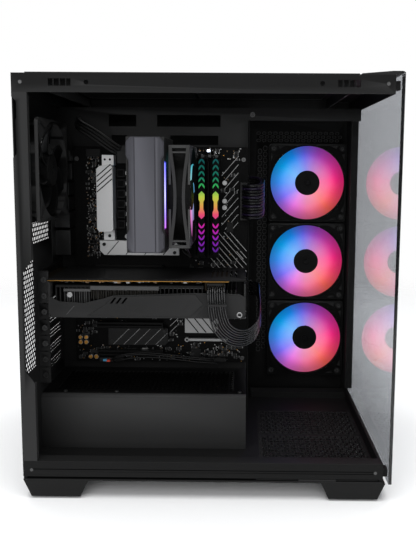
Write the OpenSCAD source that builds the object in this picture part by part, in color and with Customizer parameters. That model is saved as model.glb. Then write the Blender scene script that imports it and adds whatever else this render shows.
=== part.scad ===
// Desktop computer tower: dual-chamber case with its board, cards, coolers, fans and power supply.
// X runs from the rear (-) to the front glass (+), Y from the open side (-) to the far panel (+).
// Z = 0 is the surface that the feet rest on.

/* [Case] */
// Length from the rear panel to the outside of the front glass
case_len = 434; // [430:1:440]
// Width from the open side to the far side panel
case_w = 306; // [304:1:312]
// Height from the floor to the top of the trim
case_h = 497; // [495:1:505]
// Height of the feet
foot_h = 22; // [18:1:24]
// Thickness of the steel sheet
sheet = 1.2; // [1:0.1:1.4]
// Thickness of the front glass
glass_t = 4; // [3:0.5:4]
// Height of the captive screws behind the rear panel
screw_stand = 5; // [4:0.5:6]

/* [Fans] */
// Side of a square case fan
fan_size = 120; // [120:1:120]
// Depth of a case fan
fan_depth = 25; // [25:1:26]
// Blades on each case fan
fan_blades = 9; // [7:1:11]
// Distance between the centres of the side fans
fan_pitch = 122.5; // [121:0.5:124]

/* [Board] */
// Width of the motherboard
board_w = 244; // [244:1:244]
// Height of the motherboard
board_h = 305; // [305:1:305]
// Distance between expansion slots
slot_pitch = 20.32; // [20.32:0.01:20.32]
// Length of a memory stick
stick_len = 133.4; // [133:0.1:134]

/* [Hidden] */
$fn = 48;
eps = 0.01;
x_rear = -(case_len - screw_stand) / 2;
x_front = x_rear + case_len;
y_open = -case_w / 2;
y_far = case_w / 2;
z_base = foot_h;
pan_t = 2;
groove = 3;
rail_z = z_base + pan_t + groove;
rail_top = rail_z + 19;
rail_d = 16;
floor_top = 31;
top_rail_z = case_h - 25;
top_z = case_h - 4;
x_in = x_rear + sheet;
frame_x1 = x_front - 10.5;
glass_x = x_front - glass_t;
wall_x1 = frame_x1 - 4;
far_in = y_far - 1.5;

tray_y = 29.4;
tray_x1 = x_rear + 263.5;
board_x = x_rear + 20;
board_y = 21.4;
board_z = 113;
board_top = board_z + board_h;
board_t = 1.6;
column_w = 17;
column_cut = 6;

side_fan_x = 142;
side_fan_y = 122.5;
side_fan_z = [367, 367 - fan_pitch, 367 - 2 * fan_pitch];
bracket_y = side_fan_y + fan_depth + 0.1;
rear_fan_y = -86;
rear_fan_z = 386;
slot_z = 250;
slot_count = 7;
ledge_y = -84;
cover_h = 18.4;
cpu_x = -70;
cpu_z = 357;
fins_x = [-92.5, -48.5];
fins_z = [291, 425];
cooler_top = -134.5;
cooler_fan_x = -44.5;
cooler_fan_y = -66;
dimm_x = [for (i = [0:3]) -21.8 + 9.3 * i];
dimm_z = 265;
dimm_len = 142;
stick_slots = [1, 3];
stick_z = 269.5;
gpu_x = [-198, 46.5];
gpu_y = [-93.6, 2];
gpu_z = [204, slot_z + 2.6];
gpu_fan_x = [-132, -24];
gpu_fan_y = -45;
psu = [140, 86, 150];
psu_pos = [x_in + 0.1, 56, floor_top + 2];
psu_fan = [psu_pos[0] + 72, psu_pos[2] + 75];
shroud_y = -83;
shroud_z = 102;
shroud_x1 = tray_x1 - 1;

// ---------- shared shapes ----------

// A box given by its lowest and highest corners
module box(lo, hi) {
    translate(lo) cube(hi - lo);
}

// Corners of equal slots spread along Y (along = 1) or X (along = 0) inside a rectangle
function slots(lo, hi, n, along, w) = [
    for (i = [0:n - 1])
        let (p = lo[along] + (hi[along] - lo[along] - w) * i / (n - 1))
        along == 1 ? [[lo[0], p], [hi[0], p], [hi[0], p + w], [lo[0], p + w]]
                   : [[p, lo[1]], [p + w, lo[1]], [p + w, hi[1]], [p, hi[1]]]
];

// Flat sheet in the XY plane with four-cornered slots cut through it
module slotted(lo, hi, t, cuts) {
    corners = [lo, [hi[0], lo[1]], hi, [lo[0], hi[1]]];
    loops = [for (k = [0:len(cuts) - 1]) [for (i = [0:3]) 4 + 4 * k + i]];
    linear_extrude(t)
        polygon(points = concat(corners, [for (c = cuts) each c]), paths = concat([[0, 1, 2, 3]], loops));
}

// Guard of rings and spokes inside a round opening, lying on z = 0
module ring_guard(r_out, pitch, wire, t, arms) {
    for (r = [20:pitch:r_out - 4])
        difference() {
            cylinder(r = r + wire / 2, h = t, $fn = 64);
            translate([0, 0, -1]) cylinder(r = r - wire / 2, h = t + 2, $fn = 64);
        }
    for (a = [0:360 / arms:359])
        rotate(a) box([19.6, -wire / 2, 0], [r_out + 0.5, wire / 2, t]);
}

// Turns a sheet drawn in XY into the YZ plane, thickness along +X
module to_yz() {
    multmatrix([[0, 0, 1, 0], [1, 0, 0, 0], [0, 1, 0, 0], [0, 0, 0, 1]]) children();
}

// Turns a sheet drawn in XY into the XZ plane, thickness along -Y
module to_xz() {
    rotate([90, 0, 0]) children();
}

// Square with round corners, centred
module round_square(w, h, r) {
    square([w - 2 * r, h], center = true);
    square([w, h - 2 * r], center = true);
    for (i = [-1, 1])
        for (j = [-1, 1])
            translate([i * (w / 2 - r), j * (h / 2 - r)]) circle(r);
}

// Sides, rings and ends of a tube swept along points, with an oval section
function unit(v) = v / norm(v);
function tangent(p, i) = unit(p[min(i + 1, len(p) - 1)] - p[max(i - 1, 0)]);
function catmull(p, i, t) =
    let (a = p[max(i - 1, 0)], b = p[i], c = p[i + 1], d = p[min(i + 2, len(p) - 1)])
    0.5 * (2 * b + (c - a) * t + (2 * a - 5 * b + 4 * c - d) * t * t + (3 * b - a - 3 * c + d) * t * t * t);
function smooth_path(p, n) = [
    for (i = [0:len(p) - 2])
        for (k = [0:n - 1]) catmull(p, i, k / n),
    p[len(p) - 1]
];
module swept(route, across, wide, deep, sides = 10, n = 3) {
    path = smooth_path(route, n);
    rings = [for (i = [0:len(path) - 1])
        let (t = tangent(path, i), u = unit(across - (across * t) * t), v = cross(t, u))
        each [for (k = [0:sides - 1])
            path[i] + u * wide / 2 * cos(360 * k / sides) + v * deep / 2 * sin(360 * k / sides)]];
    walls = [for (i = [0:len(path) - 2])
        for (k = [0:sides - 1])
            let (a = i * sides + k, b = i * sides + (k + 1) % sides)
            [a, a + sides, b + sides, b]];
    ends = [[for (k = [0:sides - 1]) k], [for (k = [sides - 1:-1:0]) (len(path) - 1) * sides + k]];
    polyhedron(points = rings, faces = concat(walls, ends), convexity = 6);
}

// ---------- fans ----------

fan_bore = fan_size / 2 - 2.4;
fan_hub = 19;
fan_axle = 2;
axle_gap = 0.05;
flange_t = 4;
strut_z = fan_depth - 3.5;

// Case fan frame: front face at z = 0, struts at the back
module fan_frame() {
    difference() {
        union() {
            for (z = [0, fan_depth - flange_t])
                translate([0, 0, z]) linear_extrude(flange_t) round_square(fan_size, fan_size, 6);
            cylinder(r = fan_size / 2 - 0.4, h = fan_depth, $fn = 96);
        }
        translate([0, 0, -1]) cylinder(r = fan_bore, h = fan_depth + 2, $fn = 96);
        for (i = [-1, 1])
            for (j = [-1, 1])
                translate([52.5 * i, 52.5 * j, -1]) cylinder(r = 2.2, h = fan_depth + 2, $fn = 24);
    }
    difference() {
        union() {
            for (a = [45:90:315])
                rotate(a) box([fan_hub - 2, -2.5, strut_z], [fan_bore + 0.6, 2.5, fan_depth - 0.5]);
            translate([0, 0, strut_z]) cylinder(r = fan_hub + 1, h = fan_depth - strut_z);
        }
        translate([0, 0, strut_z - 1]) cylinder(r = fan_axle + axle_gap, h = 3.5, $fn = 32);
    }
}

// Impeller with a cup, pitched blades and an axle that runs in the frame's bearing
module fan_rotor(r = fan_bore - 1.2, hub = fan_hub, blades = fan_blades, depth = strut_z, chord = 24) {
    translate([0, 0, 1.5]) cylinder(r = hub, h = depth - 2.1);
    translate([0, 0, depth - 1]) cylinder(r = fan_axle, h = 2.5, $fn = 32);
    intersection() {
        union()
            for (i = [0:blades - 1])
                rotate(i * 360 / blades)
                    translate([hub - 2, 0, depth / 2])
                        rotate([38, 0, 0]) translate([0, -chord / 2, -0.8]) cube([r, chord, 1.6]);
        translate([0, 0, 2]) cylinder(r = r, h = depth - 3, $fn = 96);
    }
}

module at_side_fan(i) {
    translate([side_fan_x, side_fan_y, side_fan_z[i]]) rotate([-90, 0, 0]) children();
}

module side_fan_frame(i) {
    color("#26262a") at_side_fan(i) fan_frame();
}

module side_fan_rotor(i) {
    color("#7a6cf0") at_side_fan(i) fan_rotor();
}

module at_rear_fan() {
    translate([x_in + fan_depth, rear_fan_y, rear_fan_z]) rotate([0, -90, 0]) children();
}

module rear_fan_frame() {
    color("#1c1c1e") at_rear_fan() fan_frame();
}

module rear_fan_rotor() {
    color("#202024") at_rear_fan() fan_rotor(blades = 7, chord = 27);
}

module at_cooler_fan() {
    translate([cooler_fan_x + fan_depth, cooler_fan_y, cpu_z - 1]) rotate([0, -90, 0]) children();
}

module cooler_fan_frame() {
    color("#8b8c90") at_cooler_fan() fan_frame();
}

module cooler_fan_rotor() {
    color("#c8d8f0") at_cooler_fan() fan_rotor();
}

// ---------- case ----------

vent_x = [68, 200];
vent_y = [[-112, -44], [-34, 44]];
filter_x = [60, wall_x1 - 1];
filter_y = [y_open + 2, 60];

module chassis_base() {
    color("#232325") {
        difference() {
            box([x_rear, y_open, z_base], [frame_x1, far_in, z_base + pan_t]);
            for (v = vent_y)
                box([vent_x[0], v[0], z_base - 1], [vent_x[1], v[1], z_base + pan_t + 1]);
        }
        // Near rail: a channel open towards the inside
        difference() {
            box([x_rear, y_open, rail_z], [frame_x1, y_open + rail_d, rail_top]);
            box([x_in, y_open + sheet, rail_z + sheet], [wall_x1, y_open + rail_d + 1, rail_top - sheet]);
            for (x = [x_rear + 10, frame_x1 - 9])
                translate([x, y_open + 3, rail_z + 8]) rotate([90, 0, 0]) cylinder(r = 2, h = 8);
        }
        // Corner blocks that carry the near rail over the groove
        for (x = [x_rear, wall_x1])
            box([x, y_open + 1.5, z_base + pan_t], [x + 4, y_open + rail_d, rail_z]);
        // Far, rear and front walls
        box([x_rear, far_in - sheet, z_base + pan_t], [frame_x1, far_in, rail_top]);
        box([x_rear, y_open + rail_d, z_base + pan_t], [x_in, far_in - sheet, floor_top - 1.5]);
        box([wall_x1, y_open + rail_d, z_base + pan_t], [frame_x1, far_in - sheet, rail_top]);
        // Floor with two vents
        translate([0, 0, floor_top - 1.5])
            slotted([x_rear, y_open + rail_d - 2], [wall_x1 + 1, far_in - sheet], 1.5,
                [for (v = vent_y) each slots([vent_x[0], v[0]], [vent_x[1], v[1]], 14, 0, 5.6)]);
        // Ledge at the foot of the far wall, behind the front compartment
        box([tray_x1 + 8, 104, floor_top], [wall_x1, 122, floor_top + 9]);
        // Clip blocks that hold the front glass
        for (y = [y_open + 6, far_in - 16])
            box([frame_x1, y, z_base + 6], [glass_x, y + 10, z_base + 16]);
    }
}

psu_cut = [[psu_pos[1] + 6, psu_pos[2] + 6], [psu_pos[1] + psu[1] - 6, psu_pos[2] + psu[2] - 6]];

module rear_panel() {
    strip = slots([y_open + 9, 142], [ledge_y - 12, 280], 14, 1, 6);
    chamber = slots([58, 220], [140, 400], 14, 1, 7);
    color("#202022") {
        difference() {
            translate([x_rear, 0, 0]) to_yz()
                slotted([y_open + sheet, floor_top], [far_in, top_rail_z], sheet, concat(strip, chamber));
            translate([x_rear - 1, rear_fan_y, rear_fan_z])
                rotate([0, 90, 0]) cylinder(r = 56, h = 4, $fn = 96);
            // Port opening, expansion slots and power supply opening
            box([x_rear - 1, -22, board_top - 156], [x_in + 1, board_y + 0.6, board_top + 1]);
            for (i = [0:slot_count - 1])
                box([x_rear - 1, ledge_y + 6, slot_z - i * slot_pitch - 6.5],
                    [x_in + 1, 14, slot_z - i * slot_pitch + 6.5]);
            box([x_rear - 1, psu_cut[0][0], psu_cut[0][1]], [x_in + 1, psu_cut[1][0], psu_cut[1][1]]);
            // Fan screw holes
            for (i = [-1, 1])
                for (j = [-1, 1])
                    translate([x_rear - 1, rear_fan_y + 52.5 * i, rear_fan_z + 52.5 * j])
                        rotate([0, 90, 0]) cylinder(r = 2.2, h = 4, $fn = 24);
            // Holes for the captive screws of the far panel
            for (z = thumb_z)
                translate([x_rear - 1, thumb_y, z]) rotate([0, 90, 0]) cylinder(r = 2.1, h = 4, $fn = 24);
            // Corners that the base's near rail and far wall fill
            box([x_rear - 1, y_open, floor_top - 1], [x_in + 1, y_open + rail_d, rail_top]);
            box([x_rear - 1, far_in - sheet, floor_top - 1], [x_in + 1, far_in + 1, rail_top]);
        }
        translate([x_rear, rear_fan_y, rear_fan_z]) rotate([0, 90, 0]) ring_guard(56, 9, 1.8, sheet, 6);
        // Near column: front flange, cut back beside the card area, and its inner lip
        difference() {
            box([x_rear, y_open, rail_top], [x_rear + column_w, y_open + sheet, top_rail_z]);
            box([x_rear + column_cut, y_open - 1, 148], [x_rear + column_w + 1, y_open + 2, 282]);
            translate([x_rear, y_open + 2, 0]) rotate([90, 0, 0]) linear_extrude(4)
                polygon([[-1, 467], [0, 467], [5, 462], [5, 405], [0, 400], [-1, 400]]);
        }
        for (z = [[rail_top, 148], [282, top_rail_z]])
            box([x_rear + column_w - sheet, y_open + sheet, z[0]], [x_rear + column_w, y_open + 7, z[1]]);
        // Ledge that the slot brackets are screwed to, notched where they pass
        difference() {
            box([x_in, ledge_y, slot_z - 6 * slot_pitch - 11], [x_rear + 15, ledge_y + sheet, slot_z + 11]);
            for (i = [2:slot_count - 1])
                ledge_notch(slot_z - i * slot_pitch, cover_h);
            ledge_notch(slot_z - slot_pitch / 2, cover_h + slot_pitch);
        }
    }
}

// Gap in the ledge for a bracket of this height
module ledge_notch(z, tall) {
    box([x_in, ledge_y - 1, z - tall / 2 - 0.1], [x_in + 1, ledge_y + sheet + 1, z + tall / 2 + 0.1]);
}

module top_frame() {
    color("#232325") {
        // Near rail with clip slots, screw holes and clip holes
        difference() {
            box([x_rear, y_open, top_rail_z], [frame_x1, y_open + rail_d, top_z]);
            box([x_in, y_open + sheet, top_rail_z - 1],
                [frame_x1 - sheet, y_open + rail_d + 1, top_z - sheet]);
            for (x = [x_rear + 41, x_rear + 360])
                box([x, y_open - 1, top_z - 14], [x + 25, y_open + 3, top_z - 6]);
            for (x = [x_rear + 10, x_rear + 83, x_rear + 343, frame_x1 - 8])
                translate([x, y_open + 3, top_z - 10]) rotate([90, 0, 0]) cylinder(r = 2.6, h = 8);
        }
        // Bars inside the clip slots
        for (x = [x_rear + 41, x_rear + 360])
            for (i = [0:2])
                box([x + 5 + 7 * i, y_open + 0.4, top_z - 14.5],
                    [x + 6.2 + 7 * i, y_open + 1.1, top_z - 5.5]);
        // Top sheet with one large opening for fans under the filter
        difference() {
            box([x_rear, y_open + rail_d, top_z - sheet], [frame_x1, far_in, top_z]);
            box([x_rear + 24, -112, top_z - 5], [168, 118, top_z + 1]);
        }
        // Downward lip around the opening
        difference() {
            box([x_rear + 22, -114, top_z - 14], [170, 120, top_z - sheet]);
            box([x_rear + 24, -112, top_z - 20], [168, 118, top_z + 1]);
        }
        // Far, rear and front skirts
        box([x_rear, far_in - sheet, top_rail_z], [frame_x1, far_in, top_z - sheet]);
        box([x_rear, y_open + rail_d, top_rail_z], [x_in, far_in - sheet, top_z - sheet]);
        box([frame_x1 - sheet, y_open + rail_d, top_rail_z], [frame_x1, far_in - sheet, top_z - sheet]);
        for (y = [y_open + 6, far_in - 16])
            box([frame_x1, y, top_z - 16], [glass_x, y + 10, top_z - 6]);
    }
}

module front_pillar() {
    color("#19191b") {
        box([wall_x1, 105, rail_top], [glass_x, 107, top_rail_z]);
        box([wall_x1, 107, rail_top], [wall_x1 + sheet, far_in - sheet, top_rail_z]);
        box([glass_x - 2, 107, rail_top], [glass_x, far_in - sheet, top_rail_z]);
    }
}

standoff_xy = [for (x = [6.5, 139, 237.5]) for (z = [6.5, 134, 288]) [board_x + x, board_z + z]];

module motherboard_tray() {
    color("#1e1e20")
        difference() {
            union() {
                box([x_in, tray_y, floor_top], [tray_x1, tray_y + sheet, top_rail_z]);
                // Rolled front edge and the arm that reaches the front
                box([tray_x1 - sheet, tray_y + sheet, floor_top], [tray_x1, tray_y + 12, top_rail_z]);
                box([tray_x1, tray_y, 455], [wall_x1, tray_y + sheet, top_rail_z]);
            }
            for (c = [[-144.5, 446, 38, 16], [-77.5, 446, 88, 16], [-141.5, 420, 22, 14],
                [-59.5, 421, 67, 13], [-110, 320, 90, 74]])
                box([c[0], tray_y - 1, c[1]], [c[0] + c[2], tray_y + 3, c[1] + c[3]]);
            translate([tray_x1 + 6, tray_y + 3, 463]) rotate([90, 0, 0]) cylinder(r = 1.8, h = 6, $fn = 24);
        }
    // Brass standoffs pressed into the tray
    color("#b08d4a")
        for (p = standoff_xy)
            translate([p[0], tray_y, p[1]]) rotate([90, 0, 0])
                difference() {
                    cylinder(r = 2.8, h = tray_y - board_y - board_t, $fn = 6);
                    translate([0, 0, 1]) cylinder(r = 1.5, h = 8, $fn = 24);
                }
}

module side_fan_bracket() {
    columns = slots([tray_x1 + 16, 92], [tray_x1 + 31, 428], 20, 1, 9);
    row = slots([tray_x1 + 34, 431], [wall_x1 - 6, 443], 12, 0, 5);
    color("#1d1d1f") {
        difference() {
            translate([0, bracket_y + sheet, 0]) to_xz()
                slotted([tray_x1 + 1.4, floor_top], [wall_x1, top_rail_z], sheet, concat(columns, row));
            for (z = side_fan_z) {
                translate([side_fan_x, bracket_y + 3, z]) rotate([90, 0, 0]) cylinder(r = 56, h = 5);
                for (i = [-1, 1])
                    for (j = [-1, 1])
                        translate([side_fan_x + 52.5 * i, bracket_y + 3, z + 52.5 * j])
                            rotate([90, 0, 0]) cylinder(r = 2.2, h = 5, $fn = 24);
            }
        }
        // Cable wall between the two chambers, with two pass-through openings
        difference() {
            box([tray_x1 + 1.4, tray_y + 14, floor_top], [tray_x1 + 1.4 + sheet, bracket_y, top_rail_z]);
            for (z = [200, 330])
                box([tray_x1, 54, z], [tray_x1 + 4, 84, z + 50]);
        }
    }
}

// Slanted slot in the shroud's top, as a thin parallelogram
function slant(c, len, w) =
    [[c[0], c[1]], [c[0] + w, c[1]], [c[0] + w + len, c[1] + len], [c[0] + len, c[1] + len]];

module psu_shroud() {
    cuts = [for (j = [0:2]) for (i = [0:15]) slant([x_rear + 26 + 13 * i, shroud_y + 22 + 26 * j], 14, 4)];
    color("#2a2a2c") {
        box([x_in, shroud_y, floor_top], [shroud_x1, shroud_y + sheet, shroud_z - sheet]);
        box([shroud_x1 - sheet, shroud_y + sheet, floor_top], [shroud_x1, tray_y, shroud_z - sheet]);
        translate([0, 0, shroud_z - sheet])
            slotted([x_in, shroud_y], [shroud_x1, tray_y], sheet, cuts);
    }
}

thumb_y = 146;
thumb_z = [70, 260, 440];
tab_gap = 0.2;

module far_side_panel() {
    fan_cuts = slots([side_fan_x - 52, 70], [side_fan_x + 52, 424], 30, 1, 6);
    psu_cuts = slots([psu_fan[0] - 44, psu_fan[1] - 50], [psu_fan[0] + 44, psu_fan[1] + 50], 10, 1, 6);
    color("#222224") {
        translate([0, y_far, 0]) to_xz()
            slotted([x_rear - tab_gap, z_base + 2], [glass_x - 4, top_z - 1], y_far - far_in - 0.1,
                concat(fan_cuts, psu_cuts));
        // Rear tab that lies against the rear panel and carries the captive screws
        difference() {
            box([x_rear - tab_gap - 1, thumb_y - 8, rail_top], [x_rear - tab_gap, y_far, top_rail_z]);
            for (z = thumb_z)
                translate([x_rear - 3, thumb_y, z]) rotate([0, 90, 0]) cylinder(r = 1.8, h = 4, $fn = 24);
        }
    }
}

module panel_thumbscrews() {
    color("#2c2c2e")
        for (z = thumb_z)
            translate([x_rear - tab_gap - 1, thumb_y, z]) rotate([0, -90, 0]) {
                cylinder(r = 5.5, h = screw_stand - tab_gap - 1);
                translate([0, 0, -6]) cylinder(r = 1.75, h = 6 + eps, $fn = 32);
            }
}

module front_glass() {
    color("#a9b0b6", 0.4) box([glass_x, y_open, z_base - 1], [x_front, far_in - 2, case_h - 2]);
}

button_pos = [[frame_x1 - 12, -128], [frame_x1 - 12, -106]];
port_y = [-86, -70, -54];
trim_profile = [[172, top_z], [172, top_z + 1.2], [206, case_h], [x_front - 3, case_h],
    [x_front - 0.9, case_h - 0.9], [x_front, case_h - 2], [glass_x - 0.2, case_h - 2],
    [glass_x - 0.2, top_z], [172, top_z]];

module top_trim() {
    color("#1b1b1d")
        difference() {
            translate([0, far_in, 0]) rotate([90, 0, 0]) linear_extrude(far_in - y_open)
                polygon([for (i = [0:len(trim_profile) - 2]) trim_profile[i]]);
            translate([button_pos[0][0], button_pos[0][1], top_z + 1]) cylinder(r = 7.2, h = 9);
            translate([button_pos[1][0], button_pos[1][1], top_z + 1]) cylinder(r = 4, h = 9);
            for (b = button_pos)
                translate([b[0], b[1], top_z - 1]) cylinder(r = 2.2, h = 9);
            for (y = port_y)
                box([frame_x1 - 15, y - 6, top_z + 1], [frame_x1 - 9, y + 6, case_h + 1]);
            translate([frame_x1 - 12, -38, top_z + 1]) cylinder(r = 1.8, h = 9);
        }
}

module button(p, r) {
    translate([p[0], p[1], case_h - 1.6]) cylinder(r = r, h = 1.6);
    translate([p[0], p[1], top_z + 1.4]) cylinder(r = 1.9, h = 1.1);
}

module power_button() {
    color("#3a3a3d") button(button_pos[0], 6.9);
}

module reset_button() {
    color("#3a3a3d") button(button_pos[1], 3.7);
}

module top_filter() {
    color("#17171a")
        translate([0, 0, top_z + 0.1])
            slotted([x_rear + 14, y_open + 4], [170, far_in - 4], 1.4,
                concat(slots([x_rear + 26, -110], [-30, 116], 18, 1, 8),
                    slots([-24, -110], [160, 116], 18, 1, 8)));
}

module bottom_filter() {
    color("#17171a") {
        translate([0, 0, z_base + pan_t + 0.3])
            slotted([filter_x[0], filter_y[0]], [filter_x[1], filter_y[1]], 1.2,
                [for (v = vent_y) each slots([vent_x[0] + 2, v[0]], [vent_x[1] - 2, v[1]], 10, 0, 9)]);
        // Pull lip in the groove
        box([filter_x[0] + 50, y_open, z_base + pan_t + 0.3],
            [filter_x[1] - 50, filter_y[0], z_base + pan_t + 2.6]);
    }
}

foot_top = 76;
foot_bottom = 58;
foot_d = 44;
pad_t = 2.5;
foot_x = [x_rear, frame_x1 + 3.5 - foot_top];
foot_y = [y_open, far_in - foot_d];

module feet() {
    color("#18181a")
        for (x = foot_x)
            for (y = foot_y)
                translate([x + foot_top / 2, y + foot_d, 0]) rotate([90, 0, 0]) linear_extrude(foot_d)
                    polygon([[-foot_top / 2, z_base], [-foot_bottom / 2, pad_t], [foot_bottom / 2, pad_t],
                        [foot_top / 2, z_base]]);
}

module foot_pads() {
    color("#0f0f10")
        for (x = foot_x)
            for (y = foot_y)
                translate([x + foot_top / 2, y + foot_d / 2, 0]) linear_extrude(pad_t)
                    round_square(foot_bottom - 10, foot_d - 12, 5);
}

// Pan-head screw: head up from z = 0, shank down
module screw(r = 3.4, h = 2.2, shank = 3) {
    difference() {
        cylinder(r = r, h = h, $fn = 32);
        for (a = [0, 90])
            rotate(a) box([-r * 0.6, -0.4, h - 1], [r * 0.6, 0.4, h + 1]);
    }
    translate([0, 0, -shank]) cylinder(r = 1.4, h = shank + eps, $fn = 24);
}

module case_screws() {
    color("#8f9094") {
        for (p = [[x_rear + 10, top_z - 10], [frame_x1 - 8, top_z - 10], [x_rear + 10, rail_z + 8],
            [frame_x1 - 9, rail_z + 8]])
            translate([p[0], y_open + sheet, p[1]]) rotate([90, 0, 0]) cylinder(r = 1.9, h = sheet, $fn = 24);
        for (i = [0:slot_count - 1])
            translate([x_rear + 9.5, ledge_y - 1, slot_z - i * slot_pitch]) rotate([90, 0, 0])
                screw(shank = 0.9);
        for (p = standoff_xy)
            translate([p[0], board_y, p[1]]) rotate([90, 0, 0]) screw(r = 2.9, h = 1.8, shank = board_t);
        for (p = [[x_rear + 30, shroud_y + 10], [x_rear + 96, shroud_y + 10], [shroud_x1 - 8, shroud_y + 10]])
            translate([p[0], p[1], shroud_z]) screw(r = 2.6, h = 1.6, shank = 0);
        translate([tray_x1 + 6, tray_y, 463]) rotate([90, 0, 0]) screw(shank = 1);
    }
}

// One expansion bracket seen from its slot centre: plate, foot and screw tab
module slot_plate(z, tall) {
    box([x_in + 0.05, ledge_y - 1, z - tall / 2], [x_in + 0.95, board_y + 3, z + tall / 2]);
    difference() {
        box([x_in + 0.95, ledge_y - 1, z - tall / 2], [x_rear + 15, ledge_y - 0.05, z + tall / 2]);
        for (k = [0:floor(tall / slot_pitch)])
            translate([x_rear + 9.5, ledge_y + 1, z + tall / 2 - 9.2 - k * slot_pitch]) rotate([90, 0, 0])
                cylinder(r = 1.9, h = 4, $fn = 24);
    }
}

module slot_covers() {
    color("#2a2a2c")
        for (i = [2:slot_count - 1])
            slot_plate(slot_z - i * slot_pitch, cover_h);
}

// ---------- power supply ----------

module psu_case() {
    wall = 1.2;
    fan_c = [psu_fan[0], psu_pos[1] + psu[1], psu_fan[1]];
    color("#1f1f21") {
        difference() {
            translate(psu_pos) cube(psu);
            box(psu_pos + [wall, wall, wall], psu_pos + psu - [wall, wall, wall]);
            translate(fan_c) rotate([90, 0, 0]) translate([0, 0, -1]) cylinder(r = 58, h = 4, $fn = 96);
            // Inlet, switch and rear vents
            translate(psu_pos + [-1, 14, 16]) cube([4, 22, 28]);
            translate(psu_pos + [-1, 44, 20]) cube([4, 13.4, 19.4]);
            for (j = [0:5])
                for (i = [0:4])
                    translate(psu_pos + [-1, 10 + 14 * i, 58 + 13 * j]) cube([4, 10, 8]);
            // Output opening
            translate(psu_pos + [psu[0] - 3, 12, 30]) cube([5, 62, 90]);
        }
        // Fan guard: rings and spokes
        translate(fan_c) rotate([90, 0, 0]) ring_guard(58, 12, 1.6, wall, 6);
        // Bearing plate and its arms behind the fan
        translate(fan_c + [0, -psu_fan_depth, 0]) rotate([90, 0, 0]) {
            difference() {
                cylinder(r = 20, h = 3);
                translate([0, 0, -1]) cylinder(r = fan_axle + axle_gap, h = 5, $fn = 32);
            }
            for (a = [0, 90, 180, 270])
                rotate(a) box([19, -2, 0.4], [67, 2, 2.6]);
        }
        // Mains inlet with three flat pins
        translate(psu_pos + [wall, 14, 16])
            difference() {
                cube([16, 22, 28]);
                translate([-1, 2.5, 2.5]) cube([14, 17, 23]);
            }
        for (p = [[11, 8], [11, 20], [6, 14]])
            translate(psu_pos + [0.2, 14 + p[0] - 1, 16 + p[1] - 2]) cube([15, 2, 4]);
    }
}

psu_fan_depth = 21.5;

module psu_fan_rotor() {
    color("#2a2a2e")
        translate([psu_fan[0], psu_pos[1] + psu[1] - 1.2, psu_fan[1]]) rotate([90, 0, 0])
            fan_rotor(r = 55, blades = 7, depth = psu_fan_depth - 1.2, chord = 26);
}

switch_c = psu_pos + [1.5, 50.7, 29.7];

module psu_switch() {
    color("#111112")
        translate(switch_c) {
            rotate([90, 0, 0]) translate([0, 0, -6]) cylinder(r = 1.5, h = 12, $fn = 32);
            rotate([0, 6, 0]) translate([-1.1, -5.6, -8.4]) cube([3, 11.2, 16.8]);
        }
}

// ---------- motherboard ----------

module motherboard_pcb() {
    color("#141416")
        difference() {
            box([board_x, board_y, board_z], [board_x + board_w, board_y + board_t, board_top]);
            for (p = standoff_xy)
                translate([p[0], board_y + 3, p[1]]) rotate([90, 0, 0]) cylinder(r = 1.6, h = 6, $fn = 24);
        }
}

// A component that stands on the board: lowest corner in X and Z, its size and its height
module on_board(x, z, w, h, tall) {
    box([x, board_y - tall, z], [x + w, board_y, z + h]);
}

module rear_io_ports() {
    port_x = x_in + 1.2;
    color("#7d8086") {
        // Port shield with openings in front of the blocks
        difference() {
            box([x_in, -21.6, board_top - 155.6], [x_in + 1, board_y + 0.2, board_top + 0.6]);
            for (p = io_blocks)
                box([x_in - 1, board_y - p[2] + 1.4, board_top - p[0] - p[1] + 1.4],
                    [x_in + 2, board_y - 1.4, board_top - p[0] - 1.4]);
        }
        for (p = io_blocks)
            difference() {
                box([port_x, board_y - p[2], board_top - p[0] - p[1]],
                    [port_x + 20, board_y, board_top - p[0]]);
                box([port_x - 1, board_y - p[2] + 2, board_top - p[0] - p[1] + 2],
                    [port_x + 12, board_y - 2, board_top - p[0] - 2]);
            }
    }
}

// Port blocks: distance below the board's top edge, height along Z and depth off the board
io_blocks = [[6, 14, 20], [24, 22, 14], [50, 16, 31], [70, 16, 31], [90, 20, 30], [114, 34, 27]];

module vrm_heatsink() {
    color("#b9bcc0") {
        difference() {
            translate([0, board_y, 0]) rotate([90, 0, 0]) linear_extrude(25)
                polygon([[-156, 304], [-153, 301], [-137, 301], [-134, 304], [-134, 392], [-138, 397],
                    [-152, 397], [-156, 392]]);
            for (i = [0:6])
                translate([-157, board_y - 26, 318 + 12 * i]) rotate([0, -32, 0]) cube([30, 8, 2.2]);
            translate([-157, board_y - 7, 300]) cube([5, 8, 100]);
        }
        on_board(-128, 395, 54, 16, 22);
    }
}

module board_components() {
    color("#2b2b2e") {
        for (i = [0:5])
            on_board(-132, 305 + 14.2 * i, 11, 11, 6.5);
    }
    color("#c9ccd0")
        for (p = [[17, 369, 3.2], [17, 344, 3.2], [17, 335, 3.2], [-186, 150, 3], [-178, 150, 3],
            [-186, 143, 3], [-178, 143, 3], [-172, 122, 3], [-164, 122, 3], [-118, 294, 3.2],
            [-110, 294, 3.2], [-102, 294, 3.2]])
            translate([p[0], board_y, p[1]]) rotate([90, 0, 0]) cylinder(r = p[2], h = 9, $fn = 24);
    color("#18181a") {
        on_board(-60, 196, 12, 12, 1.4);
        on_board(20, 300, 9, 14, 1.4);
        on_board(-30, 118, 14, 14, 1.2);
    }
}

module cpu_socket() {
    color("#9ea2a8") {
        difference() {
            on_board(cpu_x - 29, cpu_z - 37, 58, 74, 4);
            on_board(cpu_x - 20, cpu_z - 20, 40, 40, 5);
        }
        on_board(cpu_x - 19, cpu_z - 19, 38, 38, 7.4);
    }
}

latch_pivot = [board_y - 5, dimm_z + dimm_len - 2.2];

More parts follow.
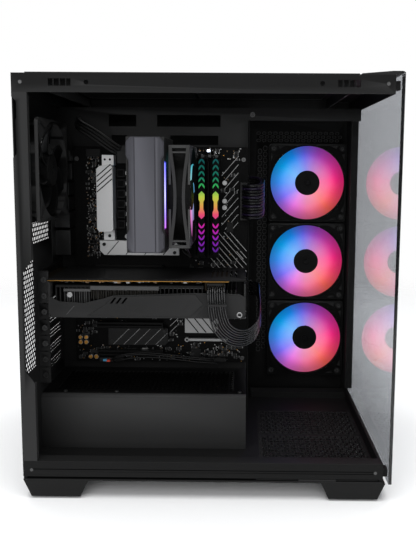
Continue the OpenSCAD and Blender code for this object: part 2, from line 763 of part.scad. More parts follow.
module dimm_slots() {
    color("#232326")
        for (x = dimm_x)
            difference() {
                union() {
                    on_board(x - 3.2, dimm_z, 6.4, dimm_len - 9, 9.5);
                    for (s = [-3.2, 2.2])
                        on_board(x + s, dimm_z + dimm_len - 9, 1, 9, 9.5);
                    on_board(x - 3.2, dimm_z + dimm_len - 9, 6.4, 9, 1.2);
                }
                on_board(x - 0.8, dimm_z + 4, 1.6, dimm_len - 12, 12);
                translate([x - 4, latch_pivot[0], latch_pivot[1]]) rotate([0, 90, 0])
                    cylinder(r = 1.15, h = 8, $fn = 32);
            }
}

module dimm_latch(i) {
    color("#4a4a50") {
        translate([dimm_x[i] - 3, latch_pivot[0], latch_pivot[1]]) rotate([0, 90, 0])
            cylinder(r = 1.1, h = 6, $fn = 32);
        box([dimm_x[i] - 2, board_y - 19, latch_pivot[1] - 1.1],
            [dimm_x[i] + 2, latch_pivot[0] + 1.2, latch_pivot[1] + 2.2]);
    }
}

module ram_stick(i) {
    x = dimm_x[stick_slots[i]];
    color("#101012") {
        box([x - 0.7, board_y - 37, stick_z], [x + 0.7, board_y - 3.6, stick_z + stick_len]);
        for (s = [-3.4, 0.7])
            box([x + s, board_y - 41, stick_z + 1], [x + s + 2.7, board_y - 10.5, stick_z + stick_len - 1]);
    }
}

module ram_light_bars() {
    color("#68e0a0")
        for (i = [0, 1])
            translate([dimm_x[stick_slots[i]], board_y - 41, 0])
                box([-3.4, -3.5, stick_z + 1], [3.4, 0, stick_z + stick_len - 1]);
}

module board_heatsinks() {
    color("#c0c3c7") {
        // Upper drive cover, chipset cover and the bar below it
        translate([0, board_y, 0]) rotate([90, 0, 0]) linear_extrude(9)
            polygon([[-156, 288], [-52, 288], [-46, 282], [-46, 268], [-150, 268], [-156, 274]]);
        difference() {
            on_board(-38, 158, 46, 24, 10);
            for (i = [0:4])
                translate([-40 + 11 * i, board_y - 11, 154]) rotate([0, -45, 0]) cube([2, 4, 50]);
        }
        on_board(-32, 144, 52, 6, 6);
    }
    color("#1a1a1c")
        difference() {
            on_board(-146, 140, 84, 24, 10);
            for (i = [0:4])
                translate([-140 + 16 * i, board_y - 10.6, 136])
                    rotate([0, 45, 0]) translate([-2, 0, -10]) cube([1.2, 1.2, 60]);
        }
}

pcie_z = [slot_z, slot_z - 4 * slot_pitch, slot_z - 6 * slot_pitch];

module board_connectors() {
    color("#1c1c20") {
        // Card slots
        for (z = pcie_z)
            difference() {
                on_board(-162, z - 3.7, 93, 7.4, 11);
                on_board(-160.5, z - 0.85, 90, 1.7, 12);
            }
        // Board power socket, processor power socket, drive and front-panel headers
        difference() {
            on_board(board_x + board_w - 11, 318, 10, 52, 13);
            for (i = [0:11])
                on_board(board_x + board_w - 8, 320.4 + 4.2 * i, 4, 2.6, 14);
        }
        on_board(-172, 404, 19, 10, 13);
        on_board(board_x + board_w - 14, 196, 14, 40, 12);
        on_board(-160, 116, 36, 5.5, 8.5);
        on_board(-10, 116, 30, 5.5, 8.5);
    }
}

// ---------- cooler ----------

pipe_x = [for (i = [0:3]) cpu_x - 16 + 10.6 * i];
pipe_r = 3;
pipe_span = 30;
bend_r = 14;
base_y = board_y - 7.4;

// Half of a U-shaped heat pipe, from the middle of the base to the cooler's top
module half_pipe() {
    cylinder(r = pipe_r, h = pipe_span - bend_r, $fn = 24);
    translate([0, -bend_r, pipe_span - bend_r]) rotate([90, 0, 90])
        rotate_extrude(angle = 90, $fn = 64) translate([bend_r, 0]) circle(pipe_r, $fn = 24);
    translate([0, -bend_r, pipe_span]) rotate([90, 0, 0])
        cylinder(r = pipe_r, h = base_y - 6 - bend_r - cooler_top - 4, $fn = 24);
}

module cooler_base() {
    color("#c9a27c")
        for (x = pipe_x)
            for (m = [0, 1])
                translate([x, base_y - 6, cpu_z]) mirror([0, 0, m]) half_pipe();
    color("#c2c5c9")
        difference() {
            box([cpu_x - 21, base_y - 12, cpu_z - 16], [cpu_x + 21, base_y, cpu_z + 16]);
            for (x = pipe_x)
                translate([x, base_y - 6, cpu_z - 17]) cylinder(r = pipe_r, h = 34, $fn = 24);
        }
}

module cooler_fins() {
    fin_gap = 3.4;
    fin_count = 29;
    color("#2c2d30")
        for (i = [0:fin_count - 1])
            translate([0, cooler_top + 4 + fin_gap * i, 0]) rotate([90, 0, 0]) linear_extrude(0.8)
                difference() {
                    translate([fins_x[0], fins_z[0]]) square([fins_x[1] - fins_x[0], fins_z[1] - fins_z[0]]);
                    for (x = pipe_x)
                        for (s = [-1, 1])
                            translate([x, cpu_z + s * pipe_span]) circle(pipe_r + 0.02, $fn = 24);
                }
    color("#2c2d30")
        for (z = [fins_z[0] - 0.2, fins_z[1] - 0.8])
            box([fins_x[0] + 6, cooler_top + 3.2, z],
                [fins_x[1] - 6, cooler_top + 4 + fin_gap * (fin_count - 1), z + 1]);
}

module cooler_top_plate() {
    color("#9a9c9f")
        difference() {
            translate([0, cooler_top + 3.1, 0]) rotate([90, 0, 0]) linear_extrude(3.1)
                polygon([[fins_x[0] + 5, fins_z[0]], [fins_x[1] - 5, fins_z[0]], [fins_x[1], fins_z[0] + 6],
                    [fins_x[1], fins_z[1] - 6], [fins_x[1] - 5, fins_z[1]], [fins_x[0] + 5, fins_z[1]],
                    [fins_x[0], fins_z[1] - 6], [fins_x[0], fins_z[0] + 6]]);
            box([fins_x[1] - 10.5, cooler_top - 1, fins_z[0] - 1],
                [fins_x[1] - 9, cooler_top + 1.2, fins_z[1] + 1]);
            for (x = [fins_x[0] + 5, fins_x[1] - 7])
                box([x, cooler_top - 1, 318], [x + 2, cooler_top + 1, 398]);
        }
}

module cooler_light_strip() {
    color("#9fb4ff") box([fins_x[1] + 0.1, cooler_top, 318], [fins_x[1] + 3.3, cooler_top + 6, 398]);
}

// ---------- graphics card ----------

module gpu_board() {
    color("#7a5c2c") {
        box([x_rear + 15.5, -91, slot_z - 0.8], [26, 5, slot_z + 0.8]);
        box([x_in + 1, ledge_y + 2, slot_z - 0.8], [x_rear + 15.6, 5, slot_z + 0.8]);
        box([-159, 5, slot_z - 0.8], [-74, 13, slot_z + 0.8]);
    }
    // Power socket on the near edge
    color("#121214")
        difference() {
            box([-4, -91, slot_z - 10.8], [20, -79, slot_z - 0.8]);
            box([-2, -92, slot_z - 9], [18, -84, slot_z - 2.4]);
        }
}

module gpu_backplate() {
    color("#2b2b2e")
        difference() {
            box([gpu_x[0], -92.6, slot_z + 0.8], [gpu_x[1], 3, gpu_z[1]]);
            for (i = [0:5])
                box([gpu_x[1] - 44 + 6 * i, -70, slot_z], [gpu_x[1] - 41 + 6 * i, -20, gpu_z[1] + 1]);
        }
}

module gpu_heatsink() {
    color("#a5a8ad") {
        box([gpu_x[0] + 8, -88, slot_z - 8.8], [-6, -2, slot_z - 5.8]);
        for (i = [0:43])
            box([gpu_x[0] + 8 + 5.2 * i, -88, 221],
                [gpu_x[0] + 9.2 + 5.2 * i, -2, slot_z - (i > 35 ? 11 : 5.8)]);
        box([-110, -60, slot_z - 5.8], [-70, -20, slot_z - 0.8]);
    }
}

module gpu_shroud() {
    color("#232326") {
        difference() {
            box([gpu_x[0], gpu_y[0], gpu_z[0]], [gpu_x[1], gpu_y[1], slot_z - 2]);
            box([gpu_x[0] + 2, gpu_y[0] + 2.4, gpu_z[0] + 2], [gpu_x[1] - 2, gpu_y[1] - 2.4, slot_z]);
            for (x = gpu_fan_x)
                translate([x, gpu_fan_y, gpu_z[0] - 1]) cylinder(r = 44.5, h = 4, $fn = 96);
            // Vents along the near side, the far side and the end
            for (i = [0:1])
                box([gpu_x[0] + 20 + 36 * i, gpu_y[0] - 1, slot_z - 20],
                    [gpu_x[0] + 50 + 36 * i, gpu_y[0] + 4, slot_z - 9]);
            box([gpu_x[0] + 10, gpu_y[1] - 4, gpu_z[0] + 12], [gpu_x[1] - 20, gpu_y[1] + 1, slot_z - 12]);
            box([gpu_x[0] - 1, -78, gpu_z[0] + 8], [gpu_x[0] + 3, -10, slot_z - 6]);
            box([-6, gpu_y[0] - 1, slot_z - 13], [22, gpu_y[0] + 4, slot_z]);
        }
        // Fan mounts
        for (x = gpu_fan_x)
            translate([x, gpu_fan_y, gpu_z[0] + 12]) {
                difference() {
                    cylinder(r = 15, h = 3);
                    translate([0, 0, -1]) cylinder(r = fan_axle + axle_gap, h = 5, $fn = 32);
                }
                for (a = [0, 180])
                    rotate(a + 90) box([14, -2.5, 0.5], [gpu_fan_y - gpu_y[0] - 1, 2.5, 2.5]);
            }
    }
}

module gpu_bracket() {
    color("#a2a5a9") slot_plate(slot_z - slot_pitch / 2, cover_h + slot_pitch);
}

module gpu_fan(i) {
    color("#2e2e33")
        translate([gpu_fan_x[i], gpu_fan_y, gpu_z[0] - 0.5])
            fan_rotor(r = 43, hub = 15, blades = 11, depth = 12, chord = 15);
}

// ---------- cables ----------

gpu_cable_route = [[8, -86, 244.5], [8, -96, 243], [9, -103, 232], [11, -104, 212], [18, -104, 194],
    [32, -102, 183], [48, -94, 181], [60, -76, 186], [66, -44, 196], [66, 0, 206], [66, 40, 212],
    [60, 62, 213], [40, 69, 213]];
atx_cable_route = [[43.5, 7, 344], [46, 1, 344], [54, -6, 344], [64, 0, 345], [69, 22, 348], [68, 46, 352],
    [60, 64, 354], [40, 69, 355]];
argb_route = [[-141, 10, 118.7], [-139, 5.5, 121], [-124, 4, 126], [-95, 5, 128], [-60, 7, 125],
    [-30, 6, 122], [-3, 6.5, 120], [0, 10, 118.7]];
cpu_fan_route = [[-24, -118, 294.4], [-22, -90, 282], [-26, -50, 276], [-38, 0, 275], [-42, 9, 288],
    [-41.5, 14, 298]];

module gpu_power_cable() {
    color("#1a1a1d") {
        swept(gpu_cable_route, [1, 0.4, 0], 15, 5, n = 2);
        box([-1.6, -91, slot_z - 8.6], [17.6, -86, slot_z - 2.8]);
    }
}

module board_cables() {
    color("#1d1d21") {
        swept(atx_cable_route, [0, 0, 1], 46, 7, n = 2);
        swept(argb_route, [0, 0, 1], 4, 4, sides = 8, n = 2);
        swept(cpu_fan_route, [1, 0, 0], 3, 3, sides = 8, n = 2);
        // Plugs: board power, lighting lead's two ends and processor fan
        box([board_x + board_w - 10.6, board_y - 15.5, 318.4],
            [board_x + board_w - 1.4, board_y - 13, 369.6]);
        for (x = [-146, -5])
            box([x, board_y - 12.5, 116.2], [x + 10, board_y - 8.5, 121.3]);
        box([-45, board_y - 8.5, 296], [-38, board_y, 303]);
    }
}

chassis_base();
rear_panel();
top_frame();
front_pillar();
motherboard_tray();
side_fan_bracket();
psu_shroud();
far_side_panel();
panel_thumbscrews();
front_glass();
top_trim();
power_button();
reset_button();
top_filter();
bottom_filter();
feet();
foot_pads();
case_screws();
slot_covers();
side_fan_frame(0);  // side_fan_frame_top
side_fan_frame(1);  // side_fan_frame_middle
side_fan_frame(2);  // side_fan_frame_bottom
side_fan_rotor(0);  // side_fan_rotor_top
side_fan_rotor(1);  // side_fan_rotor_middle
side_fan_rotor(2);  // side_fan_rotor_bottom
rear_fan_frame();
rear_fan_rotor();
psu_case();
psu_fan_rotor();
psu_switch();
motherboard_pcb();
rear_io_ports();
vrm_heatsink();
board_components();
cpu_socket();
dimm_slots();
dimm_latch(0);  // dimm_latch_1
dimm_latch(1);  // dimm_latch_2
dimm_latch(2);  // dimm_latch_3
dimm_latch(3);  // dimm_latch_4
ram_stick(0);  // ram_stick_1
ram_stick(1);  // ram_stick_2
ram_light_bars();
board_heatsinks();
board_connectors();
cooler_base();
cooler_fins();
cooler_top_plate();
cooler_light_strip();
cooler_fan_frame();
cooler_fan_rotor();
gpu_board();
gpu_backplate();
gpu_heatsink();
gpu_shroud();
gpu_bracket();
gpu_fan(0);  // gpu_fan_1
gpu_fan(1);  // gpu_fan_2
gpu_power_cable();
board_cables();
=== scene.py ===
import math
import random

import bmesh
import bpy
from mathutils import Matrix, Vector
from mathutils.geometry import tessellate_polygon


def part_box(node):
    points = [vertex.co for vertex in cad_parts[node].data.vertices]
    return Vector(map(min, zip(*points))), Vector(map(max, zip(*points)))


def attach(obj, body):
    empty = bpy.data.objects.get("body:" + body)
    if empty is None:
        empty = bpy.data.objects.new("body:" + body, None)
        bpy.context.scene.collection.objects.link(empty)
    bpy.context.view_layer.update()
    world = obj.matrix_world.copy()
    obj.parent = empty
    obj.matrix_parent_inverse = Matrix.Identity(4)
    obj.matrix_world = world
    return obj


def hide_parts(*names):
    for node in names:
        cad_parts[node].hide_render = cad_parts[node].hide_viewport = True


# The tower's visual model. Everything is laid out in millimetres in the CAD frame and scaled by MM:
# X runs from the rear to the front glass, Y from the open side to the far panel, Z up from the floor.
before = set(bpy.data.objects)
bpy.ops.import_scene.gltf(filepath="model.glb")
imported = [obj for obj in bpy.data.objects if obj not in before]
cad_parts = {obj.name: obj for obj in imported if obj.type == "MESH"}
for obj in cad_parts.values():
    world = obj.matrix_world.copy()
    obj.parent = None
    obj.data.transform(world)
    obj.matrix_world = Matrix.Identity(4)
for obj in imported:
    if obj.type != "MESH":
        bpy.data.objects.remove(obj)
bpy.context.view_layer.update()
MM = 0.001
DEG = math.pi / 180


def node_box(name):
    """Lowest and highest corner of a CAD node, in millimetres."""
    lo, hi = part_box(name)
    return [c / MM for c in lo], [c / MM for c in hi]


# ---------- materials ----------

def srgb(r, g, b):
    """Linear colour of an 8-bit screen colour."""
    return tuple(c / 12.92 if c <= 0.04045 else ((c + 0.055) / 1.055) ** 2.4 for c in (r / 255, g / 255, b / 255)) + (1,)


def grey(v):
    return srgb(v, v, v)


def node(nt, kind, **values):
    n = nt.nodes.new("ShaderNode" + kind)
    for key, value in values.items():
        if hasattr(n, key):
            setattr(n, key, value)
        else:
            n.inputs[key.replace("_", " ")].default_value = value
    return n


def shade(name, color, rough=0.5, metal=0.0, spec=0.5, grain=900, bump=0.1, vary=0.12, wear_and_highlight=0.0,
          brushed=None, coat=0.0, pores=0.0):
    """Principled material: blotchy colour, grain in roughness and bump, lighter edges that are part wear and part
    painted highlight.
    """
    m = bpy.data.materials.new(name)
    m.use_nodes = True
    nt = m.node_tree
    p = nt.nodes["Principled BSDF"]
    p.inputs["Metallic"].default_value = metal
    p.inputs["Specular IOR Level"].default_value = spec
    p.inputs["Coat Weight"].default_value = coat
    p.inputs["Coat Roughness"].default_value = 0.12
    link = nt.links.new
    tc = node(nt, "TexCoord")
    where = tc.outputs["Object"]
    if brushed is not None:
        mp = node(nt, "Mapping")
        mp.inputs["Scale"].default_value = brushed
        link(where, mp.inputs["Vector"])
        grain_at = mp.outputs["Vector"]
    else:
        grain_at = where
    blotch = node(nt, "TexNoise", Scale=23.0, Detail=3.0)
    link(where, blotch.inputs["Vector"])
    fine = node(nt, "TexNoise", Scale=float(grain), Detail=2.0)
    link(grain_at, fine.inputs["Vector"])
    both = node(nt, "Math", operation="MULTIPLY_ADD")
    both.inputs[1].default_value = 0.6
    link(fine.outputs["Fac"], both.inputs[0])
    half = node(nt, "Math", operation="MULTIPLY")
    half.inputs[1].default_value = 0.4
    link(blotch.outputs["Fac"], half.inputs[0])
    link(half.outputs[0], both.inputs[2])
    ramp = node(nt, "ValToRGB")
    e = ramp.color_ramp.elements
    e[0].position = 0.3
    e[0].color = tuple(c * (1 - vary) for c in color[:3]) + (1,)
    e[1].position = 0.7
    e[1].color = tuple(min(1, c * (1 + vary)) for c in color[:3]) + (1,)
    link(both.outputs[0], ramp.inputs["Fac"])
    base = ramp.outputs["Color"]
    # Lighter convex edges: part wear, part painted edge highlight.
    if wear_and_highlight:
        geo = node(nt, "NewGeometry")
        edge = node(nt, "MapRange")
        edge.inputs["From Min"].default_value = 0.54
        edge.inputs["From Max"].default_value = 0.64
        edge.inputs["To Max"].default_value = wear_and_highlight
        link(geo.outputs["Pointiness"], edge.inputs["Value"])
        mix = node(nt, "Mix", data_type="RGBA")
        link(edge.outputs[0], mix.inputs["Factor"])
        link(base, mix.inputs[6])
        mix.inputs[7].default_value = tuple(min(1, c * 2.2 + 0.02) for c in color[:3]) + (1,)
        base = mix.outputs[2]
    link(base, p.inputs["Base Color"])
    rr = node(nt, "MapRange")
    rr.inputs["To Min"].default_value = max(0.03, rough - 0.08)
    rr.inputs["To Max"].default_value = min(1, rough + 0.08)
    link(both.outputs[0], rr.inputs["Value"])
    link(rr.outputs[0], p.inputs["Roughness"])
    height = fine.outputs["Fac"]
    if pores:
        vor = node(nt, "TexVoronoi", Scale=float(pores))
        link(where, vor.inputs["Vector"])
        height = vor.outputs["Distance"]
    bp = node(nt, "Bump", Strength=bump, Distance=0.0002)
    link(height, bp.inputs["Height"])
    link(bp.outputs["Normal"], p.inputs["Normal"])
    return m


def ramp_stops(ramp, stops):
    e = ramp.color_ramp.elements
    while len(e) > 1:
        e.remove(e[-1])
    e[0].position, e[0].color = stops[0][0], stops[0][1]
    for pos, col in stops[1:]:
        e.new(pos).color = col


def wheel_glow(name, axes, stops, r_hub, r_rim, strength):
    """Blades lit from the hub: colour goes round the disc, whiter at the hub and darker at the rim."""
    m = shade(name, grey(10), rough=0.55, spec=0.05, grain=400, bump=0.05)
    nt = m.node_tree
    p = nt.nodes["Principled BSDF"]
    link = nt.links.new
    tc = node(nt, "TexCoord")
    sep = node(nt, "SeparateXYZ")
    link(tc.outputs["Object"], sep.inputs[0])
    com = node(nt, "CombineXYZ")
    link(sep.outputs[axes[0]], com.inputs[0])
    link(sep.outputs[axes[1]], com.inputs[1])
    grad = node(nt, "TexGradient", gradient_type="RADIAL")
    link(com.outputs[0], grad.inputs[0])
    ramp = node(nt, "ValToRGB")
    ramp_stops(ramp, stops)
    link(grad.outputs["Fac"], ramp.inputs["Fac"])
    dist = node(nt, "VectorMath", operation="LENGTH")
    link(com.outputs[0], dist.inputs[0])
    near = node(nt, "MapRange", interpolation_type="SMOOTHSTEP")
    near.inputs["From Min"].default_value = r_hub
    near.inputs["From Max"].default_value = r_hub + (r_rim - r_hub) * 0.75
    near.inputs["To Min"].default_value = 0.24
    near.inputs["To Max"].default_value = 0.0
    link(dist.outputs["Value"], near.inputs["Value"])
    white = node(nt, "Mix", data_type="RGBA")
    link(near.outputs[0], white.inputs["Factor"])
    link(ramp.outputs["Color"], white.inputs[6])
    white.inputs[7].default_value = srgb(236, 226, 255)
    rim = node(nt, "MapRange", interpolation_type="SMOOTHSTEP")
    rim.inputs["From Min"].default_value = r_rim * 0.6
    rim.inputs["From Max"].default_value = r_rim
    rim.inputs["To Min"].default_value = 1.0
    rim.inputs["To Max"].default_value = 0.5
    link(dist.outputs["Value"], rim.inputs["Value"])
    streak = node(nt, "TexNoise", Scale=45.0, Detail=1.0)
    link(com.outputs[0], streak.inputs["Vector"])
    soft = node(nt, "MapRange")
    soft.inputs["To Min"].default_value = 0.9
    soft.inputs["To Max"].default_value = 1.06
    link(streak.outputs["Fac"], soft.inputs["Value"])
    times = node(nt, "Math", operation="MULTIPLY")
    link(rim.outputs[0], times.inputs[0])
    link(soft.outputs[0], times.inputs[1])
    dim = node(nt, "VectorMath", operation="SCALE")
    link(white.outputs[2], dim.inputs[0])
    link(times.outputs[0], dim.inputs["Scale"])
    link(dim.outputs[0], p.inputs["Emission Color"])
    p.inputs["Emission Strength"].default_value = strength
    return m


def line_glow(name, axis, lo, hi, stops, strength, base=grey(60)):
    """Light that changes colour along one axis between lo and hi millimetres."""
    m = shade(name, base, rough=0.5, spec=0.08, grain=500, bump=0.05)
    nt = m.node_tree
    p = nt.nodes["Principled BSDF"]
    link = nt.links.new
    tc = node(nt, "TexCoord")
    sep = node(nt, "SeparateXYZ")
    link(tc.outputs["Object"], sep.inputs[0])
    rng = node(nt, "MapRange")
    rng.inputs["From Min"].default_value = lo * MM
    rng.inputs["From Max"].default_value = hi * MM
    link(sep.outputs[axis], rng.inputs["Value"])
    ramp = node(nt, "ValToRGB")
    ramp_stops(ramp, stops)
    link(rng.outputs[0], ramp.inputs["Fac"])
    link(ramp.outputs["Color"], p.inputs["Emission Color"])
    p.inputs["Emission Strength"].default_value = strength
    return m


def glass_mat(name, color, rough=0.02):
    """Tinted pane with faint smears in its gloss, and painted shade that darkens it towards its foot."""
    m = bpy.data.materials.new(name)
    m.use_nodes = True
    nt = m.node_tree
    p = nt.nodes["Principled BSDF"]
    link = nt.links.new
    p.inputs["Transmission Weight"].default_value = 1.0
    p.inputs["IOR"].default_value = 1.48
    tc = node(nt, "TexCoord")
    smear = node(nt, "TexNoise", Scale=9.0, Detail=4.0)
    link(tc.outputs["Object"], smear.inputs["Vector"])
    ramp = node(nt, "ValToRGB")
    ramp_stops(ramp, [(0.35, tuple(c * 0.97 for c in color[:3]) + (1,)), (0.7, color)])
    link(smear.outputs["Fac"], ramp.inputs["Fac"])
    # Painted shade: the tint darkens towards its foot
    sep = node(nt, "SeparateXYZ")
    link(tc.outputs["Object"], sep.inputs[0])
    foot = node(nt, "MapRange", interpolation_type="SMOOTHSTEP")
    foot.inputs["From Min"].default_value = 0.04
    foot.inputs["From Max"].default_value = 0.24
    foot.inputs["To Min"].default_value = 0.62
    link(sep.outputs[2], foot.inputs["Value"])
    tint = node(nt, "VectorMath", operation="SCALE")
    link(ramp.outputs["Color"], tint.inputs[0])
    link(foot.outputs[0], tint.inputs["Scale"])
    link(tint.outputs[0], p.inputs["Base Color"])
    rr = node(nt, "MapRange")
    rr.inputs["To Min"].default_value = rough
    rr.inputs["To Max"].default_value = rough + 0.02
    link(smear.outputs["Fac"], rr.inputs["Value"])
    link(rr.outputs[0], p.inputs["Roughness"])
    return m


WHEEL = [(0.0, srgb(60, 150, 255)), (0.085, srgb(126, 112, 255)), (0.167, srgb(236, 112, 226)),
         (0.25, srgb(240, 112, 160)), (0.36, srgb(255, 104, 92)), (0.44, srgb(255, 70, 112)),
         (0.52, srgb(255, 40, 134)), (0.62, srgb(206, 56, 160)), (0.70, srgb(158, 70, 190)),
         (0.77, srgb(96, 100, 232)), (0.83, srgb(20, 142, 246)), (0.91, srgb(0, 170, 250)),
         (1.0, srgb(60, 150, 255))]
STICK = [(0.0, srgb(70, 30, 140)), (0.16, srgb(150, 30, 190)), (0.30, srgb(216, 36, 176)),
         (0.42, srgb(250, 84, 120)), (0.50, srgb(240, 170, 84)), (0.60, srgb(200, 220, 76)),
         (0.69, srgb(60, 190, 90)), (0.80, srgb(14, 120, 96)), (1.0, srgb(8, 78, 84))]
STRIP = [(0.0, srgb(196, 60, 220)), (0.2, srgb(150, 110, 255)), (0.5, srgb(214, 214, 255)),
         (0.8, srgb(140, 130, 255)), (1.0, srgb(70, 90, 255))]

M = {
    "case_steel": shade("steel_powder", grey(22), 0.52, spec=0.07, grain=1500, bump=0.25, wear_and_highlight=0.6),
    # Same powder-coated steel as case_steel, made darker: painted shade for the inside of the case.
    "inner_steel": shade("steel_inside", grey(6), 0.62, spec=0.03, grain=1500, bump=0.2, wear_and_highlight=0.6),
    # Same powder-coated steel as case_steel, made lighter: painted light on the shroud's front-lit face.
    "shroud_steel": shade("shroud_powder_painted_light", grey(39), 0.5, spec=0.1, grain=1300, bump=0.22, wear_and_highlight=0.4),
    "thumbscrew_steel": shade("black_zinc", grey(44), 0.35, metal=0.8, grain=900, wear_and_highlight=0.5),
    "screw_steel": shade("bright_zinc", grey(70), 0.35, metal=0.9, grain=1200, bump=0.1, wear_and_highlight=0.3),
    "screw_black": shade("black_screw", grey(20), 0.4, spec=0.2, grain=1200, bump=0.1, wear_and_highlight=0.4),
    "tinted_glass": glass_mat("tinted_pane", srgb(232, 235, 240)),
    "case_plastic": shade("moulded_black", grey(15), 0.5, spec=0.12, pores=2600, bump=0.15, wear_and_highlight=0.3),
    "button_plastic": shade("button_black", grey(40), 0.3, spec=0.4, grain=600, bump=0.05, wear_and_highlight=0.3),
    "filter_mesh": shade("filter_weave", grey(8), 0.7, spec=0.05, grain=2200, bump=0.4),
    "pad_rubber": shade("rubber", grey(24), 0.8, spec=0.2, pores=1800, bump=0.3),
    "fan_frame_plastic": shade("fan_plastic", grey(8), 0.5, spec=0.05, pores=3000, bump=0.12, wear_and_highlight=0.9),
    # Lighter grey for rims round holes and screws: painted highlight on their edges.
    "painted_rim_highlight": shade("painted_rim_highlight", grey(40), 0.45, spec=0.15, grain=1500, bump=0.12, wear_and_highlight=0.5),
    "dark_blades": shade("blade_black", grey(6), 0.45, spec=0.07, grain=500, bump=0.06, wear_and_highlight=0.5),
    "psu_steel": shade("psu_powder", grey(28), 0.5, spec=0.25, grain=1500, bump=0.3, wear_and_highlight=0.3),
    "board_laminate": shade("solder_mask", grey(8), 0.5, spec=0.05, grain=260, bump=0.12, vary=0.3),
    "port_metal": shade("port_shell", grey(56), 0.35, metal=0.9, grain=900, bump=0.1, vary=0.25),
    "silver_aluminium": shade("brushed_silver", grey(196), 0.5, metal=0.5, spec=0.3, grain=120,
                              brushed=(30, 30, 2), bump=0.12, vary=0.07, wear_and_highlight=0.3),
    "component_black": shade("moulded_part", grey(9), 0.5, spec=0.08, grain=900, bump=0.12, vary=0.2, wear_and_highlight=0.8),
    "latch_plastic": shade("latch_grey", grey(36), 0.4, grain=800, bump=0.1),
    "stick_black": shade("anodised_black", grey(9), 0.4, spec=0.15, grain=1000, bump=0.1, wear_and_highlight=0.5),
    "cooler_copper": shade("nickelled_copper", grey(170), 0.22, metal=1.0, grain=150, brushed=(20, 2, 2),
                           bump=0.05, vary=0.06),
    "cooler_fins_dark": shade("fin_dark", grey(20), 0.4, metal=0.3, spec=0.2, grain=400, bump=0.1, wear_and_highlight=0.5),
    "cooler_plate_grey": shade("plate_grey", srgb(60, 60, 65), 0.5, metal=0.2, spec=0.15, grain=1700, bump=0.35,
                               vary=0.14, wear_and_highlight=0.5),
    "cooler_fan_grey": shade("fan_grey", grey(48), 0.5, spec=0.1, grain=1400, bump=0.15, wear_and_highlight=0.5),
    "gpu_laminate": shade("card_laminate", srgb(26, 21, 14), 0.6, spec=0.05, grain=700, bump=0.1, vary=0.25),
    "gpu_grey": shade("bracket_grey", grey(48), 0.4, metal=0.5, spec=0.2, grain=300, brushed=(2, 2, 30), bump=0.1),
    "gpu_plastic": shade("card_plastic", grey(37), 0.5, spec=0.08, grain=1500, bump=0.2, vary=0.12, wear_and_highlight=0.6),
    "gpu_line": shade("card_line", grey(84), 0.4, spec=0.2, grain=1500, bump=0.2, vary=0.12),
    "gpu_dark": shade("card_dark", grey(12), 0.55, spec=0.05, grain=1500, bump=0.2, vary=0.15, wear_and_highlight=0.6),
    # Dark brownish colour for the card's metal fins: painted shade.
    "gpu_fin": shade("card_fin_painted_shade", srgb(60, 58, 54), 0.4, metal=0.5, spec=0.2, grain=300, brushed=(2, 2, 40), bump=0.1),
    "gpu_bar": shade("card_bar", grey(66), 0.4, metal=0.4, spec=0.2, grain=300, brushed=(2, 2, 40), bump=0.1),
    "cable_black": shade("cable_sleeve", grey(10), 0.4, spec=0.25, grain=1600, bump=0.3, vary=0.2),
    "wire_gloss": shade("wire_gloss", grey(6), 0.2, spec=0.6, grain=1600, bump=0.05, vary=0.2),
    # Purple-tinted sleeve: painted glow of the fan light on the wires.
    "cable_painted_glow": shade("cable_lit", srgb(22, 14, 34), 0.4, spec=0.25, grain=1600, bump=0.3, vary=0.3),
    # Near-black fill laid in slots, holes and recesses: painted shade where no opening is cut.
    "gap": shade("shadow_gap", grey(6), 0.8, spec=0.1, grain=900, bump=0.1),
    "cover_dark": shade("cover_dark", grey(22), 0.5, spec=0.08, grain=1500, bump=0.2, vary=0.15, wear_and_highlight=0.6),
    "silver_dim": shade("silver_dim", grey(140), 0.5, metal=0.4, spec=0.2, grain=120, brushed=(30, 30, 2), bump=0.12,
                        vary=0.1, wear_and_highlight=0.3),
    "print": shade("print_grey", grey(168), 0.7, spec=0.1, grain=1400, bump=0.1, vary=0.25),
    "gold": shade("gold_plate", srgb(186, 136, 62), 0.35, metal=0.8, grain=900, bump=0.1, vary=0.15),
    "tan": shade("ceramic_tan", srgb(120, 98, 76), 0.5, spec=0.2, grain=900, bump=0.1, vary=0.2),
    "white": shade("nylon_white", grey(120), 0.5, grain=900, bump=0.1, vary=0.2),
    "tin": shade("can_tin", grey(150), 0.32, metal=0.9, grain=500, bump=0.08, vary=0.2),
    "cyan": shade("plug_cyan", srgb(70, 150, 190), 0.5, grain=900, bump=0.1),
    "red": shade("plug_red", srgb(196, 66, 44), 0.5, grain=900, bump=0.1),
    "blue": shade("port_blue", srgb(40, 92, 170), 0.4, grain=900, bump=0.1),
    "led": line_glow("led_white", 2, 410, 416, [(0, srgb(150, 190, 255)), (0.5, srgb(250, 252, 255)),
                                               (1, srgb(150, 190, 255))], 5.0),
    "stick_light": line_glow("stick_light", 2, 274, 403, STICK, 0.8, grey(12)),
    "light_bar": shade("bar_black", grey(6), 0.5, spec=0.05, grain=1000, bump=0.1),
    "strip_light": line_glow("strip_light", 2, 318, 398, STRIP, 1.5, grey(120)),
    "strip_edge": line_glow("strip_edge", 2, 318, 398, [(0, srgb(150, 50, 190)), (0.3, srgb(84, 60, 220)),
                                                        (1, srgb(40, 54, 210))], 0.8, grey(40)),
    "lit_blades": wheel_glow("lit_side", (0, 2), WHEEL, 0.019, 0.057, 1.0),
    "lit_cooler": wheel_glow("lit_cooler", (1, 2), [(0.0, srgb(240, 236, 200)), (0.25, srgb(250, 80, 190)),
                             (0.5, srgb(120, 200, 255)), (0.75, srgb(40, 200, 190)), (1.0, srgb(240, 236, 200))],
                             0.019, 0.057, 0.9),
}

